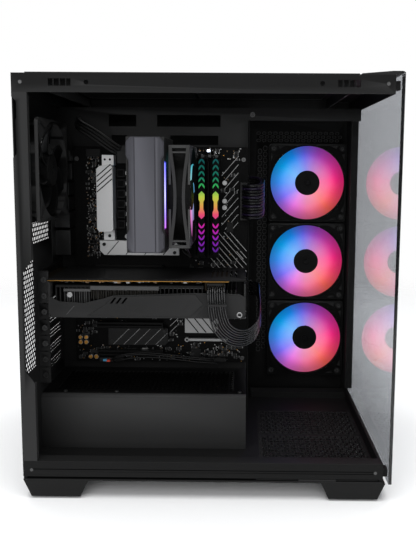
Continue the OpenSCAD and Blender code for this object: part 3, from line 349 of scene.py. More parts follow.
BEVEL = {"chassis_base": 0.35, "top_frame": 0.35, "front_pillar": 0.4, "motherboard_tray": 0.25,
         "front_glass": 0.5, "top_trim": 0.5, "power_button": 0.4, "reset_button": 0.3, "feet": 0.8,
         "foot_pads": 0.4, "panel_thumbscrews": 0.5, "psu_case": 0.3, "slot_covers": 0.15, "psu_switch": 0.4,
         "rear_io_ports": 0.2, "board_components": 0.3, "dimm_slots": 0.2, "cooler_fan_frame": 0.4,
         "rear_fan_frame": 0.4, "side_fan_frame_top": 0.4, "side_fan_frame_middle": 0.4,
         "side_fan_frame_bottom": 0.4, "cpu_socket": 0.3, "board_connectors": 0.25, "gpu_backplate": 0.25,
         "gpu_bracket": 0.15, "ram_stick_1": 0.25, "ram_stick_2": 0.25}


def soften(obj, width):
    """Welds the tessellated CAD faces and rounds their sharp edges."""
    w = obj.modifiers.new("weld", "WELD")
    w.merge_threshold = 0.00002
    b = obj.modifiers.new("round", "BEVEL")
    b.width = width * MM
    b.segments = 2
    b.limit_method = "ANGLE"
    b.angle_limit = 40 * DEG
    b.use_clamp_overlap = True


for name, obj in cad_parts.items():
    for s in obj.material_slots:
        key = s.material.name.split(".")[0] if s.material else "component_black"
        s.material = M.get(key, M["component_black"])
        # The heatsink's metal fins take the dark card colour: painted shade.
        if name == "gpu_heatsink":
            s.material = M["gpu_dark"]
        if name == "gpu_backplate":
            s.material = M["gpu_dark"]
    if name in BEVEL:
        soften(obj, BEVEL[name])


# ---------- mesh building ----------

def to3d(axis, u, v, w):
    """(u, v) in the plane across an axis, w along it: x -> (y, z), y -> (x, z), z -> (x, y)."""
    return (w, u, v) if axis == "x" else (u, w, v) if axis == "y" else (u, v, w)


def circle(cx, cy, r, n=32, a0=0.0):
    return [(cx + r * math.cos(a0 + 2 * math.pi * i / n), cy + r * math.sin(a0 + 2 * math.pi * i / n))
            for i in range(n)]


def rect(x0, y0, x1, y1):
    return [(x0, y0), (x1, y0), (x1, y1), (x0, y1)]


class Build:
    """Collects solids in millimetres and turns them into one piece that rides on a body."""

    def __init__(self, origin=(0, 0, 0)):
        self.verts = []
        self.faces = []
        self.mats = []
        self.origin = origin

    def add(self, verts, faces, mat, smooth=False):
        if mat not in self.mats:
            self.mats.append(mat)
        k = len(self.verts)
        self.verts += [tuple(v) for v in verts]
        self.faces += [(tuple(k + i for i in f), self.mats.index(mat), smooth) for f in faces]

    def box(self, lo, hi, mat):
        v = [(x, y, z) for x in (lo[0], hi[0]) for y in (lo[1], hi[1]) for z in (lo[2], hi[2])]
        self.add(v, [(0, 1, 3, 2), (4, 6, 7, 5), (0, 4, 5, 1), (2, 3, 7, 6), (0, 2, 6, 4), (1, 5, 7, 3)], mat)

    def prism(self, points, axis, a, b, mat, smooth=False):
        n = len(points)
        v = [to3d(axis, p[0], p[1], a) for p in points] + [to3d(axis, p[0], p[1], b) for p in points]
        f = [tuple(range(n)), tuple(range(2 * n - 1, n - 1, -1))]
        self.add(v, f, mat)
        self.add(v, [(i, (i + 1) % n, n + (i + 1) % n, n + i) for i in range(n)], mat, smooth)

    def disc(self, c, axis, r, a, b, mat, n=32, top=None):
        """Cylinder, or a cone when top is the radius at b."""
        top = r if top is None else top
        v = [to3d(axis, p[0], p[1], a) for p in circle(c[0], c[1], r, n)]
        v += [to3d(axis, p[0], p[1], b) for p in circle(c[0], c[1], top, n)]
        self.add(v, [tuple(range(n)), tuple(range(2 * n - 1, n - 1, -1))], mat)
        self.add(v, [(i, (i + 1) % n, n + (i + 1) % n, n + i) for i in range(n)], mat, True)

    def lathe(self, c, axis, profile, mat, n=48):
        """Closed ring: profile is a loop of (radius, position along the axis)."""
        k = len(profile)
        v = [to3d(axis, c[0] + r * math.cos(2 * math.pi * i / n), c[1] + r * math.sin(2 * math.pi * i / n), w)
             for i in range(n) for r, w in profile]
        f = [(i * k + j, i * k + (j + 1) % k, (i + 1) % n * k + (j + 1) % k, (i + 1) % n * k + j)
             for i in range(n) for j in range(k)]
        self.add(v, f, mat, True)

    def plate(self, axis, a, b, outline, holes, mat):
        """Flat sheet with holes, between a and b along the axis."""
        loops = [outline] + holes
        flat = [p for loop in loops for p in loop]
        tris = tessellate_polygon([[Vector((p[0], p[1], 0)) for p in loop] for loop in loops])
        n = len(flat)
        v = [to3d(axis, p[0], p[1], a) for p in flat] + [to3d(axis, p[0], p[1], b) for p in flat]
        f = [tuple(t) for t in tris] + [tuple(n + i for i in reversed(t)) for t in tris]
        k = 0
        for loop in loops:
            m = len(loop)
            f += [(k + i, k + (i + 1) % m, n + k + (i + 1) % m, n + k + i) for i in range(m)]
            k += m
        self.add(v, f, mat)

    def cells(self, axis, a, b, cells, mat):
        """Perforated sheet of touching cells: each is (outer loop, hole loop of the same length)."""
        index, verts, faces, edges = {}, [], [], {}

        def at(p, w):
            key = (round(p[0], 2), round(p[1], 2), w)
            if key not in index:
                index[key] = len(verts)
                verts.append(to3d(axis, p[0], p[1], w))
            return index[key]

        for outer, hole in cells:
            n = len(outer)
            for i in range(n):
                j = (i + 1) % n
                faces.append((at(outer[i], a), at(outer[j], a), at(hole[j], a), at(hole[i], a)))
                faces.append((at(outer[i], b), at(hole[i], b), at(hole[j], b), at(outer[j], b)))
                faces.append((at(hole[i], a), at(hole[j], a), at(hole[j], b), at(hole[i], b)))
                key = frozenset((at(outer[i], a), at(outer[j], a)))
                edges.setdefault(key, []).append((outer[i], outer[j]))
        for pair in edges.values():
            if len(pair) == 1:
                p, q = pair[0]
                faces.append((at(p, a), at(p, b), at(q, b), at(q, a)))
        self.add(verts, faces, mat)

    def hexes(self, axis, a, b, lo, hi, pitch, hole, mat, keep=None, ring=0):
        """Honeycomb inside a rectangle of the plane, kept where keep(u, v) is true; ring: separate rims."""
        out = []
        rows = int((hi[1] - lo[1]) / (pitch * 0.866)) + 2
        cols = int((hi[0] - lo[0]) / pitch) + 2
        for j in range(rows):
            for i in range(cols):
                u = lo[0] + pitch * (i + 0.5 * (j % 2) + 0.5)
                v = lo[1] + pitch * 0.866 * (j + 0.6)
                if u > hi[0] - pitch * 0.4 or v > hi[1] - pitch * 0.4 or (keep and not keep(u, v)):
                    continue
                inner = circle(u, v, hole / math.sqrt(3), 6, 30 * DEG)
                if ring:
                    self.cells(axis, a, b, [(circle(u, v, ring / math.sqrt(3), 6, 30 * DEG), inner)], mat)
                else:
                    out.append((circle(u, v, pitch / math.sqrt(3), 6, 30 * DEG), inner))
        if out:
            self.cells(axis, a, b, out, mat)

    def tube(self, path, r, mat, sides=8, caps=True):
        """Round wire along points, without twist."""
        pts = [Vector(p) for p in path]
        side = None
        v = []
        for i, p in enumerate(pts):
            t = (pts[min(i + 1, len(pts) - 1)] - pts[max(i - 1, 0)]).normalized()
            if side is None:
                side = t.cross(Vector((0, 0, 1)) if abs(t.z) < 0.9 else Vector((1, 0, 0))).normalized()
            side = (side - t * side.dot(t)).normalized()
            up = t.cross(side)
            v += [p + side * r * math.cos(2 * math.pi * k / sides) + up * r * math.sin(2 * math.pi * k / sides)
                  for k in range(sides)]
        f = [(i * sides + k, i * sides + (k + 1) % sides, (i + 1) * sides + (k + 1) % sides, (i + 1) * sides + k)
             for i in range(len(pts) - 1) for k in range(sides)]
        self.add(v, f, mat, True)
        if caps:
            last = (len(pts) - 1) * sides
            self.add(v, [tuple(range(sides)), tuple(range(last + sides - 1, last - 1, -1))], mat)

    def done(self, name, body, replaces=(), bevel=0.0, segments=2, angle=40):
        me = bpy.data.meshes.new(name)
        o = Vector(self.origin)
        me.from_pydata([(Vector(v) - o) * MM for v in self.verts], [], [f[0] for f in self.faces])
        for m in self.mats:
            me.materials.append(M[m])
        for poly, f in zip(me.polygons, self.faces):
            poly.material_index = f[1]
            poly.use_smooth = f[2]
        bm = bmesh.new()
        bm.from_mesh(me)
        bmesh.ops.remove_doubles(bm, verts=bm.verts, dist=1e-7)
        bmesh.ops.recalc_face_normals(bm, faces=bm.faces)
        bm.to_mesh(me)
        bm.free()
        obj = bpy.data.objects.new(name, me)
        bpy.context.scene.collection.objects.link(obj)
        obj.location = o * MM
        if bevel:
            b = obj.modifiers.new("round", "BEVEL")
            b.width = bevel * MM
            b.segments = segments
            b.limit_method = "ANGLE"
            b.angle_limit = angle * DEG
            b.use_clamp_overlap = True
        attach(obj, body)
        if replaces:
            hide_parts(*replaces)
        return obj


def smooth_path(points, n=6):
    """Catmull-Rom points through a list of points."""
    p = [Vector(q) for q in points]
    out = []
    for i in range(len(p) - 1):
        a, b, c, d = p[max(i - 1, 0)], p[i], p[i + 1], p[min(i + 2, len(p) - 1)]
        for k in range(n):
            t = k / n
            out.append(0.5 * (2 * b + (c - a) * t + (2 * a - 5 * b + 4 * c - d) * t * t
                              + (3 * b - a - 3 * c + d) * t ** 3))
    out.append(p[-1])
    return out


# ---------- fans ----------

def rotor(name, cad, body, place, axis_origin, r, hub, blades, depth, blade_mat, hub_mat,
          cover=1.32, sweep=26, thick=1.1, recess=True, deep=None, hoop=False):
    """Impeller: curved overlapping blades round a hub cup. place turns (x, y, depth) into the CAD frame."""
    b = Build(axis_origin)
    width = 360 / blades * cover
    nu, nt = 9, 9
    z0, z1 = 2.6, (deep or depth) - 1.4
    for i in range(blades):
        verts, faces = [], []
        for side in (0, 1):
            for iu in range(nu):
                u = iu / (nu - 1)
                rad = hub - 0.6 + (r - hub + 0.6) * u
                for it in range(nt):
                    t = it / (nt - 1)
                    ang = (360 / blades * i + sweep * u * u + (t - 0.5) * width * (1 - 0.10 * u)) * DEG
                    lift = z0 + thick + (z1 - z0 - 2 * thick) * (t + 0.10 * math.sin(math.pi * t)) / 1.0
                    lift = min(lift, z1 - thick)
                    z = lift + (thick / 2 if side else -thick / 2)
                    verts.append(place(rad * math.cos(ang), rad * math.sin(ang), z))
        half = nu * nt
        for iu in range(nu - 1):
            for it in range(nt - 1):
                a = iu * nt + it
                faces.append((a, a + 1, a + nt + 1, a + nt))
                faces.append((half + a, half + a + nt, half + a + nt + 1, half + a + 1))
        rim = [k for k in range(nt)] + [iu * nt + nt - 1 for iu in range(1, nu)]
        rim += [(nu - 1) * nt + k for k in range(nt - 2, -1, -1)] + [iu * nt for iu in range(nu - 2, 0, -1)]
        for k in range(len(rim)):
            p, q = rim[k], rim[(k + 1) % len(rim)]
            faces.append((p, q, half + q, half + p))
        b.add(verts, faces, blade_mat, True)
    n = 48
    rings = [(0.01, 1.5), (2.6, 1.5), (3.0, 2.3), (4.6, 2.3), (5.0, 1.5), (hub - 1.2, 1.5), (hub - 0.3, 1.9),
             (hub, 2.8), (hub, depth - 1), (0.01, depth - 1)]
    if not recess:
        rings = [(0.01, 1.5), (hub - 1.2, 1.5), (hub - 0.3, 1.9), (hub, 2.8), (hub, depth - 1), (0.01, depth - 1)]
    verts = [place(q * math.cos(2 * math.pi * i / n), q * math.sin(2 * math.pi * i / n), z)
             for q, z in rings for i in range(n)]
    faces = [(k * n + i, k * n + (i + 1) % n, (k + 1) * n + (i + 1) % n, (k + 1) * n + i)
             for k in range(len(rings) - 1) for i in range(n)]
    b.add(verts, faces, hub_mat, False)
    if hoop:
        verts = [place(q * math.cos(2 * math.pi * i / 96), q * math.sin(2 * math.pi * i / 96), z)
                 for i in range(96) for q, z in ((r - 0.9, z0 - 0.4), (r, z0), (r, z1 + 0.4), (r - 0.9, z1 + 0.4))]
        faces = [(i * 4 + j, i * 4 + (j + 1) % 4, (i + 1) % 96 * 4 + (j + 1) % 4, (i + 1) % 96 * 4 + j)
                 for i in range(96) for j in range(4)]
        b.add(verts, faces, blade_mat, True)
    obj = b.done(name, body, (cad,))
    return obj


SIDE_X, SIDE_Y = 142.0, 122.5
SIDE_Z = (367.0, 244.5, 122.0)
TAGS = ("top", "middle", "bottom")


def side_fans():
    for tag, z in zip(TAGS, SIDE_Z):
        rotor("side_rotor_" + tag, "side_fan_rotor_" + tag, "side_fan_" + tag,
              lambda x, y, d, z=z: (SIDE_X + x, SIDE_Y + d, z + y), (SIDE_X, SIDE_Y, z),
              56.4, 19, 9, 21.5, "lit_blades", "dark_blades", cover=1.5, deep=9, hoop=True)
        b = Build()
        holes = [circle(SIDE_X, z, 57.0, 96)]
        for i in (-1, 1):
            for j in (-1, 1):
                cx, cz = SIDE_X + 52.5 * i, z + 52.5 * j
                holes.append(circle(cx, cz, 2.6, 20))
                # Triangular pockets on both sides of each screw hole
                holes.append([(cx - 7.5 * i, cz + 4.2 * j), (cx - 19 * i, cz + 4.2 * j), (cx - 9.0 * i, cz - 0.6 * j)])
                holes.append([(cx + 4.2 * i, cz - 7.5 * j), (cx + 4.2 * i, cz - 19 * j), (cx - 0.6 * i, cz - 9.0 * j)])
        c = 59.6
        k = 4.0
        outline = [(SIDE_X - c + k, z - c), (SIDE_X + c - k, z - c), (SIDE_X + c, z - c + k), (SIDE_X + c, z + c - k),
                   (SIDE_X + c - k, z + c), (SIDE_X - c + k, z + c), (SIDE_X - c, z + c - k), (SIDE_X - c, z - c + k)]
        b.plate("y", SIDE_Y - 0.9, SIDE_Y - 0.02, outline, holes, "fan_frame_plastic")
        # Raised ring round the bore
        b.lathe((SIDE_X, z), "y", [(56.8, SIDE_Y - 0.9), (57.2, SIDE_Y - 1.7), (58.2, SIDE_Y - 1.7), (58.8, SIDE_Y - 0.9)],
                "fan_frame_plastic", 96)
        # Corner screws
        for i in (-1, 1):
            for j in (-1, 1):
                cx, cz = SIDE_X + 52.5 * i, z + 52.5 * j
                b.lathe((cx, cz), "y", [(2.7, SIDE_Y - 0.9), (3.0, SIDE_Y - 1.3), (4.4, SIDE_Y - 1.3), (4.8, SIDE_Y - 0.9)],
                        "pad_rubber", 24)
                # Lighter ring round each screw: painted highlight.
                b.lathe((cx, cz), "y", [(2.0, SIDE_Y - 0.95), (2.1, SIDE_Y - 1.2), (2.6, SIDE_Y - 1.2), (2.7, SIDE_Y - 0.95)],
                        "painted_rim_highlight", 24)
                b.disc((cx, cz), "y", 1.9, SIDE_Y - 0.6, SIDE_Y + 2, "screw_black", 20)
        b.done("fan_face_" + tag, "case", bevel=0.15, segments=1)


side_fans()
REAR = (-188.3, -86.0, 386.0)
rotor("rear_rotor", "rear_fan_rotor", "rear_fan",
      lambda x, y, d: (REAR[0] - d, REAR[1] + y, REAR[2] + x), REAR, 56.4, 19, 7, 21.5,
      "dark_blades", "dark_blades", cover=0.92, sweep=34)
COOL = (-19.5, -66.0, 356.0)
rotor("cooler_rotor", "cooler_fan_rotor", "cooler_fan",
      lambda x, y, d: (COOL[0] - d, COOL[1] + y, COOL[2] + x), COOL, 56.4, 19, 9, 21.5,
      "lit_cooler", "dark_blades", cover=1.0)
PSU_FAN = (-141.2, 140.8, 108.0)
rotor("psu_rotor", "psu_fan_rotor", "psu_fan",
      lambda x, y, d: (PSU_FAN[0] + x, PSU_FAN[1] - d, PSU_FAN[2] + y), PSU_FAN, 54.8, 19, 7, 20.3,
      "dark_blades", "dark_blades", cover=0.92, sweep=30)
GPU_FANS = ((-132.0, -45.0, 203.5), (-24.0, -45.0, 203.5))
for i, c in enumerate(GPU_FANS):
    rotor("card_rotor_%d" % (i + 1), "gpu_fan_%d" % (i + 1), "gpu_rotor_%d" % (i + 1),
          lambda x, y, d, c=c: (c[0] + x, c[1] + y, c[2] + d), c, 42.8, 15, 11, 12,
          "dark_blades", "dark_blades", cover=0.88, sweep=24, thick=0.9)


# ---------- case sheets ----------

X_REAR, X_IN = -214.5, -213.3
Y_OPEN, Y_IN = -153.0, -151.8
FAR_IN, Y_FAR = 151.5, 153.0
RAIL_TOP, TOP_RAIL, TOP_Z = 46.0, 472.0, 493.0
FLOOR = 31.0
SLOT_Z, SLOT_PITCH, LEDGE_Y = 250.0, 20.32, -84.0
TRAY_X1 = 49.0
THUMB_Z = (70, 260, 440)


def rear_wall():
    b = Build()
    fan = (-86.0, 386.0)
    near = rect(-143, 143, -97, 279)
    below = rect(-143, 296, -31, 322)
    chamber = rect(59, 221, 139, 399)
    holes = [near, below, chamber, circle(*fan, 57, 64), rect(-15.5, 262, 22, 419), rect(62, 39, 136, 177)]
    for i in range(7):
        holes.append(rect(LEDGE_Y + 6, SLOT_Z - i * SLOT_PITCH - 6.5, 14, SLOT_Z - i * SLOT_PITCH + 6.5))
    for i in (-1, 1):
        for j in (-1, 1):
            holes.append(circle(fan[0] + 52.5 * i, fan[1] + 52.5 * j, 2.2, 16))
    holes += [circle(146, z, 2.1, 16) for z in THUMB_Z]
    b.plate("x", X_REAR, X_IN, rect(Y_OPEN + 1.2, FLOOR, FAR_IN, TOP_RAIL), holes, "inner_steel")
    mid = (X_REAR + 0.15, X_IN - 0.15)
    for lo, hi in (((-147, 140), (-94, 283)), ((-147, 293), (-28, 326)), ((55, 217), (143, 403))):
        b.hexes("x", mid[0], mid[1], lo, hi, 6.4, 5.0, "inner_steel")
    b.hexes("x", mid[0], mid[1], (fan[0] - 62, fan[1] - 62), (fan[0] + 62, fan[1] + 62), 6.4, 5.0, "inner_steel",
            lambda u, v: math.hypot(u - fan[0], v - fan[1]) < 58.5)
    # Near column: front flange with its slanted cut beside the cards, and the inner lip
    flange = [(X_REAR, RAIL_TOP), (-197.5, RAIL_TOP), (-197.5, 140), (-207.5, 154), (-207.5, 270), (-197.5, 284),
              (-197.5, TOP_RAIL), (X_REAR, TOP_RAIL), (X_REAR, 467), (-209.5, 462), (-209.5, 405), (X_REAR, 400)]
    b.prism(flange, "y", Y_OPEN, Y_IN, "case_steel")
    for z0, z1 in ((RAIL_TOP, 140), (284, TOP_RAIL)):
        b.box((-198.7, Y_IN, z0), (-197.5, -146, z1), "case_steel")
    b.box((X_REAR, Y_OPEN + 0.1, RAIL_TOP), (X_IN, Y_IN + 1, 400), "case_steel")
    # Ledge that the slot brackets are screwed to
    b.plate("y", LEDGE_Y, LEDGE_Y + 1.2, rect(X_IN, 117, -199.5, 261),
            [circle(-205, SLOT_Z - i * SLOT_PITCH, 1.7, 16) for i in range(7)], "inner_steel")
    b.done("rear_wall", "case", ("rear_panel",), bevel=0.25, segments=1)


def fan_wall():
    b = Build()
    y0, y1 = 147.6, 148.8
    holes, rims = [], []
    for z in SIDE_Z:
        holes.append(circle(SIDE_X, z, 56, 64))
        holes += [circle(SIDE_X + 52.5 * i, z + 52.5 * j, 2.2, 16) for i in (-1, 1) for j in (-1, 1)]
    # Two staggered columns of rounded cells beside the fans and a band of them above
    spots = [(69.0 + 8.2 * i, 96 + 9.4 * j + 4.7 * i) for i in (0, 1) for j in range(35)]
    spots += [(66.5 + 8.8 * i + 4.4 * (j % 2), 432.5 + 5.6 * j) for j in range(3) for i in range(15)]
    for x, z in spots:
        w, h = (2.6, 3.0) if z < 430 else (2.4, 1.9)
        cell = [(x - w, z - h * 0.5), (x - w * 0.5, z - h), (x + w * 0.5, z - h), (x + w, z - h * 0.5),
                (x + w, z + h * 0.5), (x + w * 0.5, z + h), (x - w * 0.5, z + h), (x - w, z + h * 0.5)]
        holes.append(cell)
        rims.append(([(x + (p[0] - x) * 1.3, z + (p[1] - z) * 1.3) for p in cell], cell))
    b.plate("y", y0, y1, rect(TRAY_X1 + 1.4, FLOOR, 205, TOP_RAIL), holes, "inner_steel")
    # Lighter rims round the cells: painted highlight on their edges.
    for rim in rims:
        b.cells("y", y0 - 0.3, y0 + 0.3, [rim], "painted_rim_highlight")
    b.plate("x", TRAY_X1 + 1.4, TRAY_X1 + 2.6, rect(43.4, FLOOR, y0, TOP_RAIL),
            [rect(54, 200, 84, 250), rect(54, 330, 84, 380)], "inner_steel")
    b.done("fan_wall", "case", ("side_fan_bracket",))


def shroud():
    b = Build()
    y0, y1, x0, x1, top, r, t = -83.0, 29.4, X_IN, 48.0, 102.0, 5.0, 1.2
    outer = [(y0, FLOOR)] + [(y0 + r - r * math.cos(a * DEG), top - r + r * math.sin(a * DEG)) for a in range(0, 91, 10)]
    inner = [(y0 + r - (r - t) * math.cos(a * DEG), top - r + (r - t) * math.sin(a * DEG)) for a in range(90, -1, -10)]
    inner.append((y0 + t, FLOOR))
    b.prism(outer + inner, "x", x0, x1, "shroud_steel", True)
    # Top sheet: plain margin round a field of fine slanted slots
    cw, cd = 6.2, 8.6
    nx, ny = 37, 9
    sx0, sy0 = x0 + 16, -66.0
    sx1, sy1 = sx0 + nx * cw, sy0 + ny * cd
    b.plate("z", top - t, top, rect(x0, y0 + r, x1, y1), [rect(sx0, sy0, sx1, sy1)], "inner_steel")
    cells = []
    for j in range(ny):
        for i in range(nx):
            px, py = sx0 + cw * i, sy0 + cd * j
            cells.append((rect(px, py, px + cw, py + cd),
                          [(px + 0.7, py + 1.2), (px + 3.0, py + 1.2), (px + cw - 0.7, py + cd - 1.2),
                           (px + cw - 3.0, py + cd - 1.2)]))
    b.cells("z", top - t, top, cells, "inner_steel")
    b.box((x1 - t, y0 + t, FLOOR), (x1, y1, top - t), "shroud_steel")
    b.done("shroud_cover", "case", ("psu_shroud",), bevel=0.2, segments=1, angle=60)


def far_panel():
    b = Build()
    x0, x1, z0, z1 = -214.7, 211.5, 24.0, 492.0
    y0, y1 = 151.6, Y_FAR
    vents = [((88, 68), (196, 426)), ((-187, 56), (-95, 160))]
    holes = [rect(lo[0] + 4, lo[1] + 4, hi[0] - 4, hi[1] - 4) for lo, hi in vents]
    b.plate("y", y0, y1, rect(x0, z0, x1, z1), holes, "case_steel")
    for lo, hi in vents:
        b.hexes("y", y0 + 0.2, y1 - 0.25, lo, hi, 7.2, 5.6, "case_steel")
    b.plate("x", x0 - 1, x0, rect(138, RAIL_TOP, Y_FAR, TOP_RAIL), [circle(146, z, 1.8, 16) for z in THUMB_Z],
            "case_steel")
    b.done("far_panel", "far_side_panel", ("far_side_panel",), bevel=0.25, segments=1)


def filter_piece(name, cad, body, frame_rect, openings, z0, z1, pull=None):
    """Plastic frame with woven net across its openings."""
    b = Build()
    b.plate("z", z0, z1, rect(*frame_rect), [rect(*o) for o in openings], "case_plastic")
    step, w = 1.8, 0.75
    zm = (z0 + z1) / 2
    for x0, y0, x1, y1 in openings:
        nx, ny = int((x1 - x0) / step), int((y1 - y0) / step)
        for i in range(1, nx):
            x = x0 + (x1 - x0) * i / nx
            b.box((x - w / 2, y0 - 0.3, zm - 0.05), (x + w / 2, y1 + 0.3, zm + 0.3), "filter_mesh")
        for i in range(1, ny):
            y = y0 + (y1 - y0) * i / ny
            b.box((x0 - 0.3, y - w / 2, zm - 0.3), (x1 + 0.3, y + w / 2, zm + 0.05), "filter_mesh")
    if pull:
        b.box(pull[0], pull[1], "case_plastic")
    b.done(name, body, (cad,))


rear_wall()
fan_wall()
shroud()
far_panel()
filter_piece("top_net", "top_filter", "top_filter", (-200.5, -149, 170, 149),
             [(-188.5, -110, -30, 116), (-24, -110, 160, 116)], 493.1, 494.5)
filter_piece("bottom_net", "bottom_filter", "bottom_filter", (60, -151, 204, 60),
             [(70, -112, 198, -44), (70, -34, 198, 44)], 24.3, 25.5,
             ((110, Y_OPEN, 24.3), (154, -151, 26.6)))


def small_case_parts():
    b = Build()
    # Honeycomb guards over the floor vents, in front of and behind the cross bar
    for lo, hi in (((66, -114), (202, -42)), ((66, -36), (202, 46))):
        b.plate("z", FLOOR + 0.05, FLOOR + 0.6, rect(lo[0] - 1, lo[1] - 1, hi[0] + 1, hi[1] + 1),
                [rect(lo[0] + 4, lo[1] + 4, hi[0] - 4, hi[1] - 4)], "inner_steel")
        b.hexes("z", FLOOR + 0.1, FLOOR + 0.6, lo, hi, 8.2, 5.4, "inner_steel")
        # Raised lighter rims round the hexes: painted highlight on their edges.
        b.hexes("z", FLOOR + 0.1, FLOOR + 0.85, lo, hi, 8.2, 5.4, "painted_rim_highlight", None, 6.0)
    b.done("floor_guards", "case", bevel=0.12, segments=1)
    # Screws sunk in round wells at the corners of the open side
    b = Build()
    for x, z in ((X_REAR + 10, TOP_Z - 10), (201, TOP_Z - 10), (X_REAR + 10, 35), (200, 35)):
        b.lathe((x, z), "y", [(2.7, Y_OPEN + 0.05), (4.6, Y_OPEN + 0.05), (4.9, Y_OPEN + 0.6), (2.7, Y_OPEN + 0.6)],
                "screw_black", 32)
        b.disc((x, z), "y", 2.6, Y_OPEN + 0.15, Y_OPEN + 1.4, "screw_black", 28)
        # The cross slots are dark boxes laid on each head: painted shade.
        for a in (0, 1):
            d = (1.7, 0.35) if a else (0.35, 1.7)
            b.box((x - d[0], Y_OPEN + 0.06, z - d[1]), (x + d[0], Y_OPEN + 0.2, z + d[1]), "gap")
    b.done("corner_screws", "case", bevel=0.1, segments=1)


def slot_brackets():
    """Vented covers on the empty slots."""
    b = Build()
    for i in range(2, 7):
        z = SLOT_Z - i * SLOT_PITCH
        holes = [rect(-74, z + k - 0.42, 8, z + k + 0.42) for k in (-4.6, 0.0, 4.6)]
        b.plate("x", X_IN + 0.1, X_IN + 0.9, rect(LEDGE_Y - 1, z - 9.2, 24.4, z + 9.2), holes, "inner_steel")
        b.plate("y", LEDGE_Y - 1, LEDGE_Y - 0.1, rect(X_IN + 0.9, z - 9.2, -199.5, z + 9.2), [circle(-205, z, 1.9, 16)],
                "inner_steel")
    b.done("slot_brackets", "case", ("slot_covers",), bevel=0.15, segments=1)


small_case_parts()
slot_brackets()

# ---------- motherboard ----------

BOARD_Y = 21.4
BOARD = (-194.5, 49.5, 113.0, 418.0)


def on_board(b, x, z, w, h, tall, mat):
    b.box((x, BOARD_Y - tall, z), (x + w, BOARD_Y, z + h), mat)


def stripe(b, x0, z0, x1, z1, w, mat, tall=0.12, clip=None):
    """Thin printed line on the board, cut to a rectangle."""
    if clip:
        d = (x1 - x0, z1 - z0)
        t0, t1 = 0.0, 1.0
        for k in (0, 1):
            if abs(d[k]) < 1e-6:
                continue
            a = (clip[k] - (x0, z0)[k]) / d[k]
            c = (clip[k + 2] - (x0, z0)[k]) / d[k]
            t0, t1 = max(t0, min(a, c)), min(t1, max(a, c))
        if t1 - t0 < 0.02:
            return
        x0, z0, x1, z1 = x0 + d[0] * t0, z0 + d[1] * t0, x0 + d[0] * t1, z0 + d[1] * t1
    ln = math.hypot(x1 - x0, z1 - z0)
    nx, nz = -(z1 - z0) / ln * w / 2, (x1 - x0) / ln * w / 2
    b.prism([(x0 + nx, z0 + nz), (x1 + nx, z1 + nz), (x1 - nx, z1 - nz), (x0 - nx, z0 - nz)], "y",
            BOARD_Y - tall, BOARD_Y + 0.02, mat)


def board_print():
    b = Build()
    for i in range(9):
        z = 290 + 11.5 * i
        stripe(b, -10, z - 30, 60, z + 52, 0.65, "print", clip=(13, 304, 36, 410))
    for i in range(15):
        z = 168 + 9.6 * i
        stripe(b, -30, z + 60, 70, z - 54, 0.7, "print", clip=(-2, 176, 48, 300))
    for i in range(5):
        z = 262 + 9.6 * i
        stripe(b, 10, z, 60, z - 57, 0.7, "print", clip=(34, 262, 48, 316))
    for i in range(7):
        z = 150 + 9 * i
        stripe(b, -66, z, -40, z + 26, 0.7, "print", clip=(-60, 150, -42, 196))
    b.done("board_print", "case")


def board_clutter():
    """Small parts soldered over the board, in the gaps between the large ones."""
    rng = random.Random(7)
    b = Build()
    areas = [(-176, 262, -157, 410, 230), (-193, 150, -160, 250, 70), (-158, 288, -134, 300, 20),
             (-132, 398, -74, 417, 50), (-70, 398, 40, 417, 90), (-194, 114, 40, 138, 170),
             (-34, 184, 34, 262, 60), (-46, 262, -26, 408, 60), (12, 266, 40, 410, 20), (-62, 142, -42, 200, 16),
             (-34, 113, 44, 142, 50), (-160, 170, -64, 200, 40)]
    kinds = [("tan", 1.7, 0.9, 0.8), ("tin", 1.2, 1.2, 0.5), ("component_black", 3.2, 3.2, 1.1),
             ("component_black", 2.2, 1.4, 0.7), ("gold", 1.0, 1.0, 0.25), ("white", 1.2, 0.7, 0.5),
             ("tin", 2.2, 1.0, 0.7), ("component_black", 5.5, 4.2, 1.3)]
    for x0, z0, x1, z1, count in areas:
        for _ in range(count):
            mat, w, h, tall = kinds[rng.choice((0, 0, 1, 1, 2, 3, 4, 5, 6, 6, 7, 7) if z0 > 240 else (0, 1, 1, 2, 3, 3, 4, 5, 6, 7, 7, 2))]
            if rng.random() < 0.5:
                w, h = h, w
            x, z = rng.uniform(x0, x1 - w), rng.uniform(z0, z1 - h)
            on_board(b, x, z, w, h, tall, mat)
            if mat == "component_black" and w > 3:
                for k in range(4):
                    on_board(b, x - 0.7, z + 0.4 + k * h / 4.4, 0.7, 0.45, 0.5, "tin")
                    on_board(b, x + w, z + 0.4 + k * h / 4.4, 0.7, 0.45, 0.5, "tin")
    b.done("board_parts", "case")


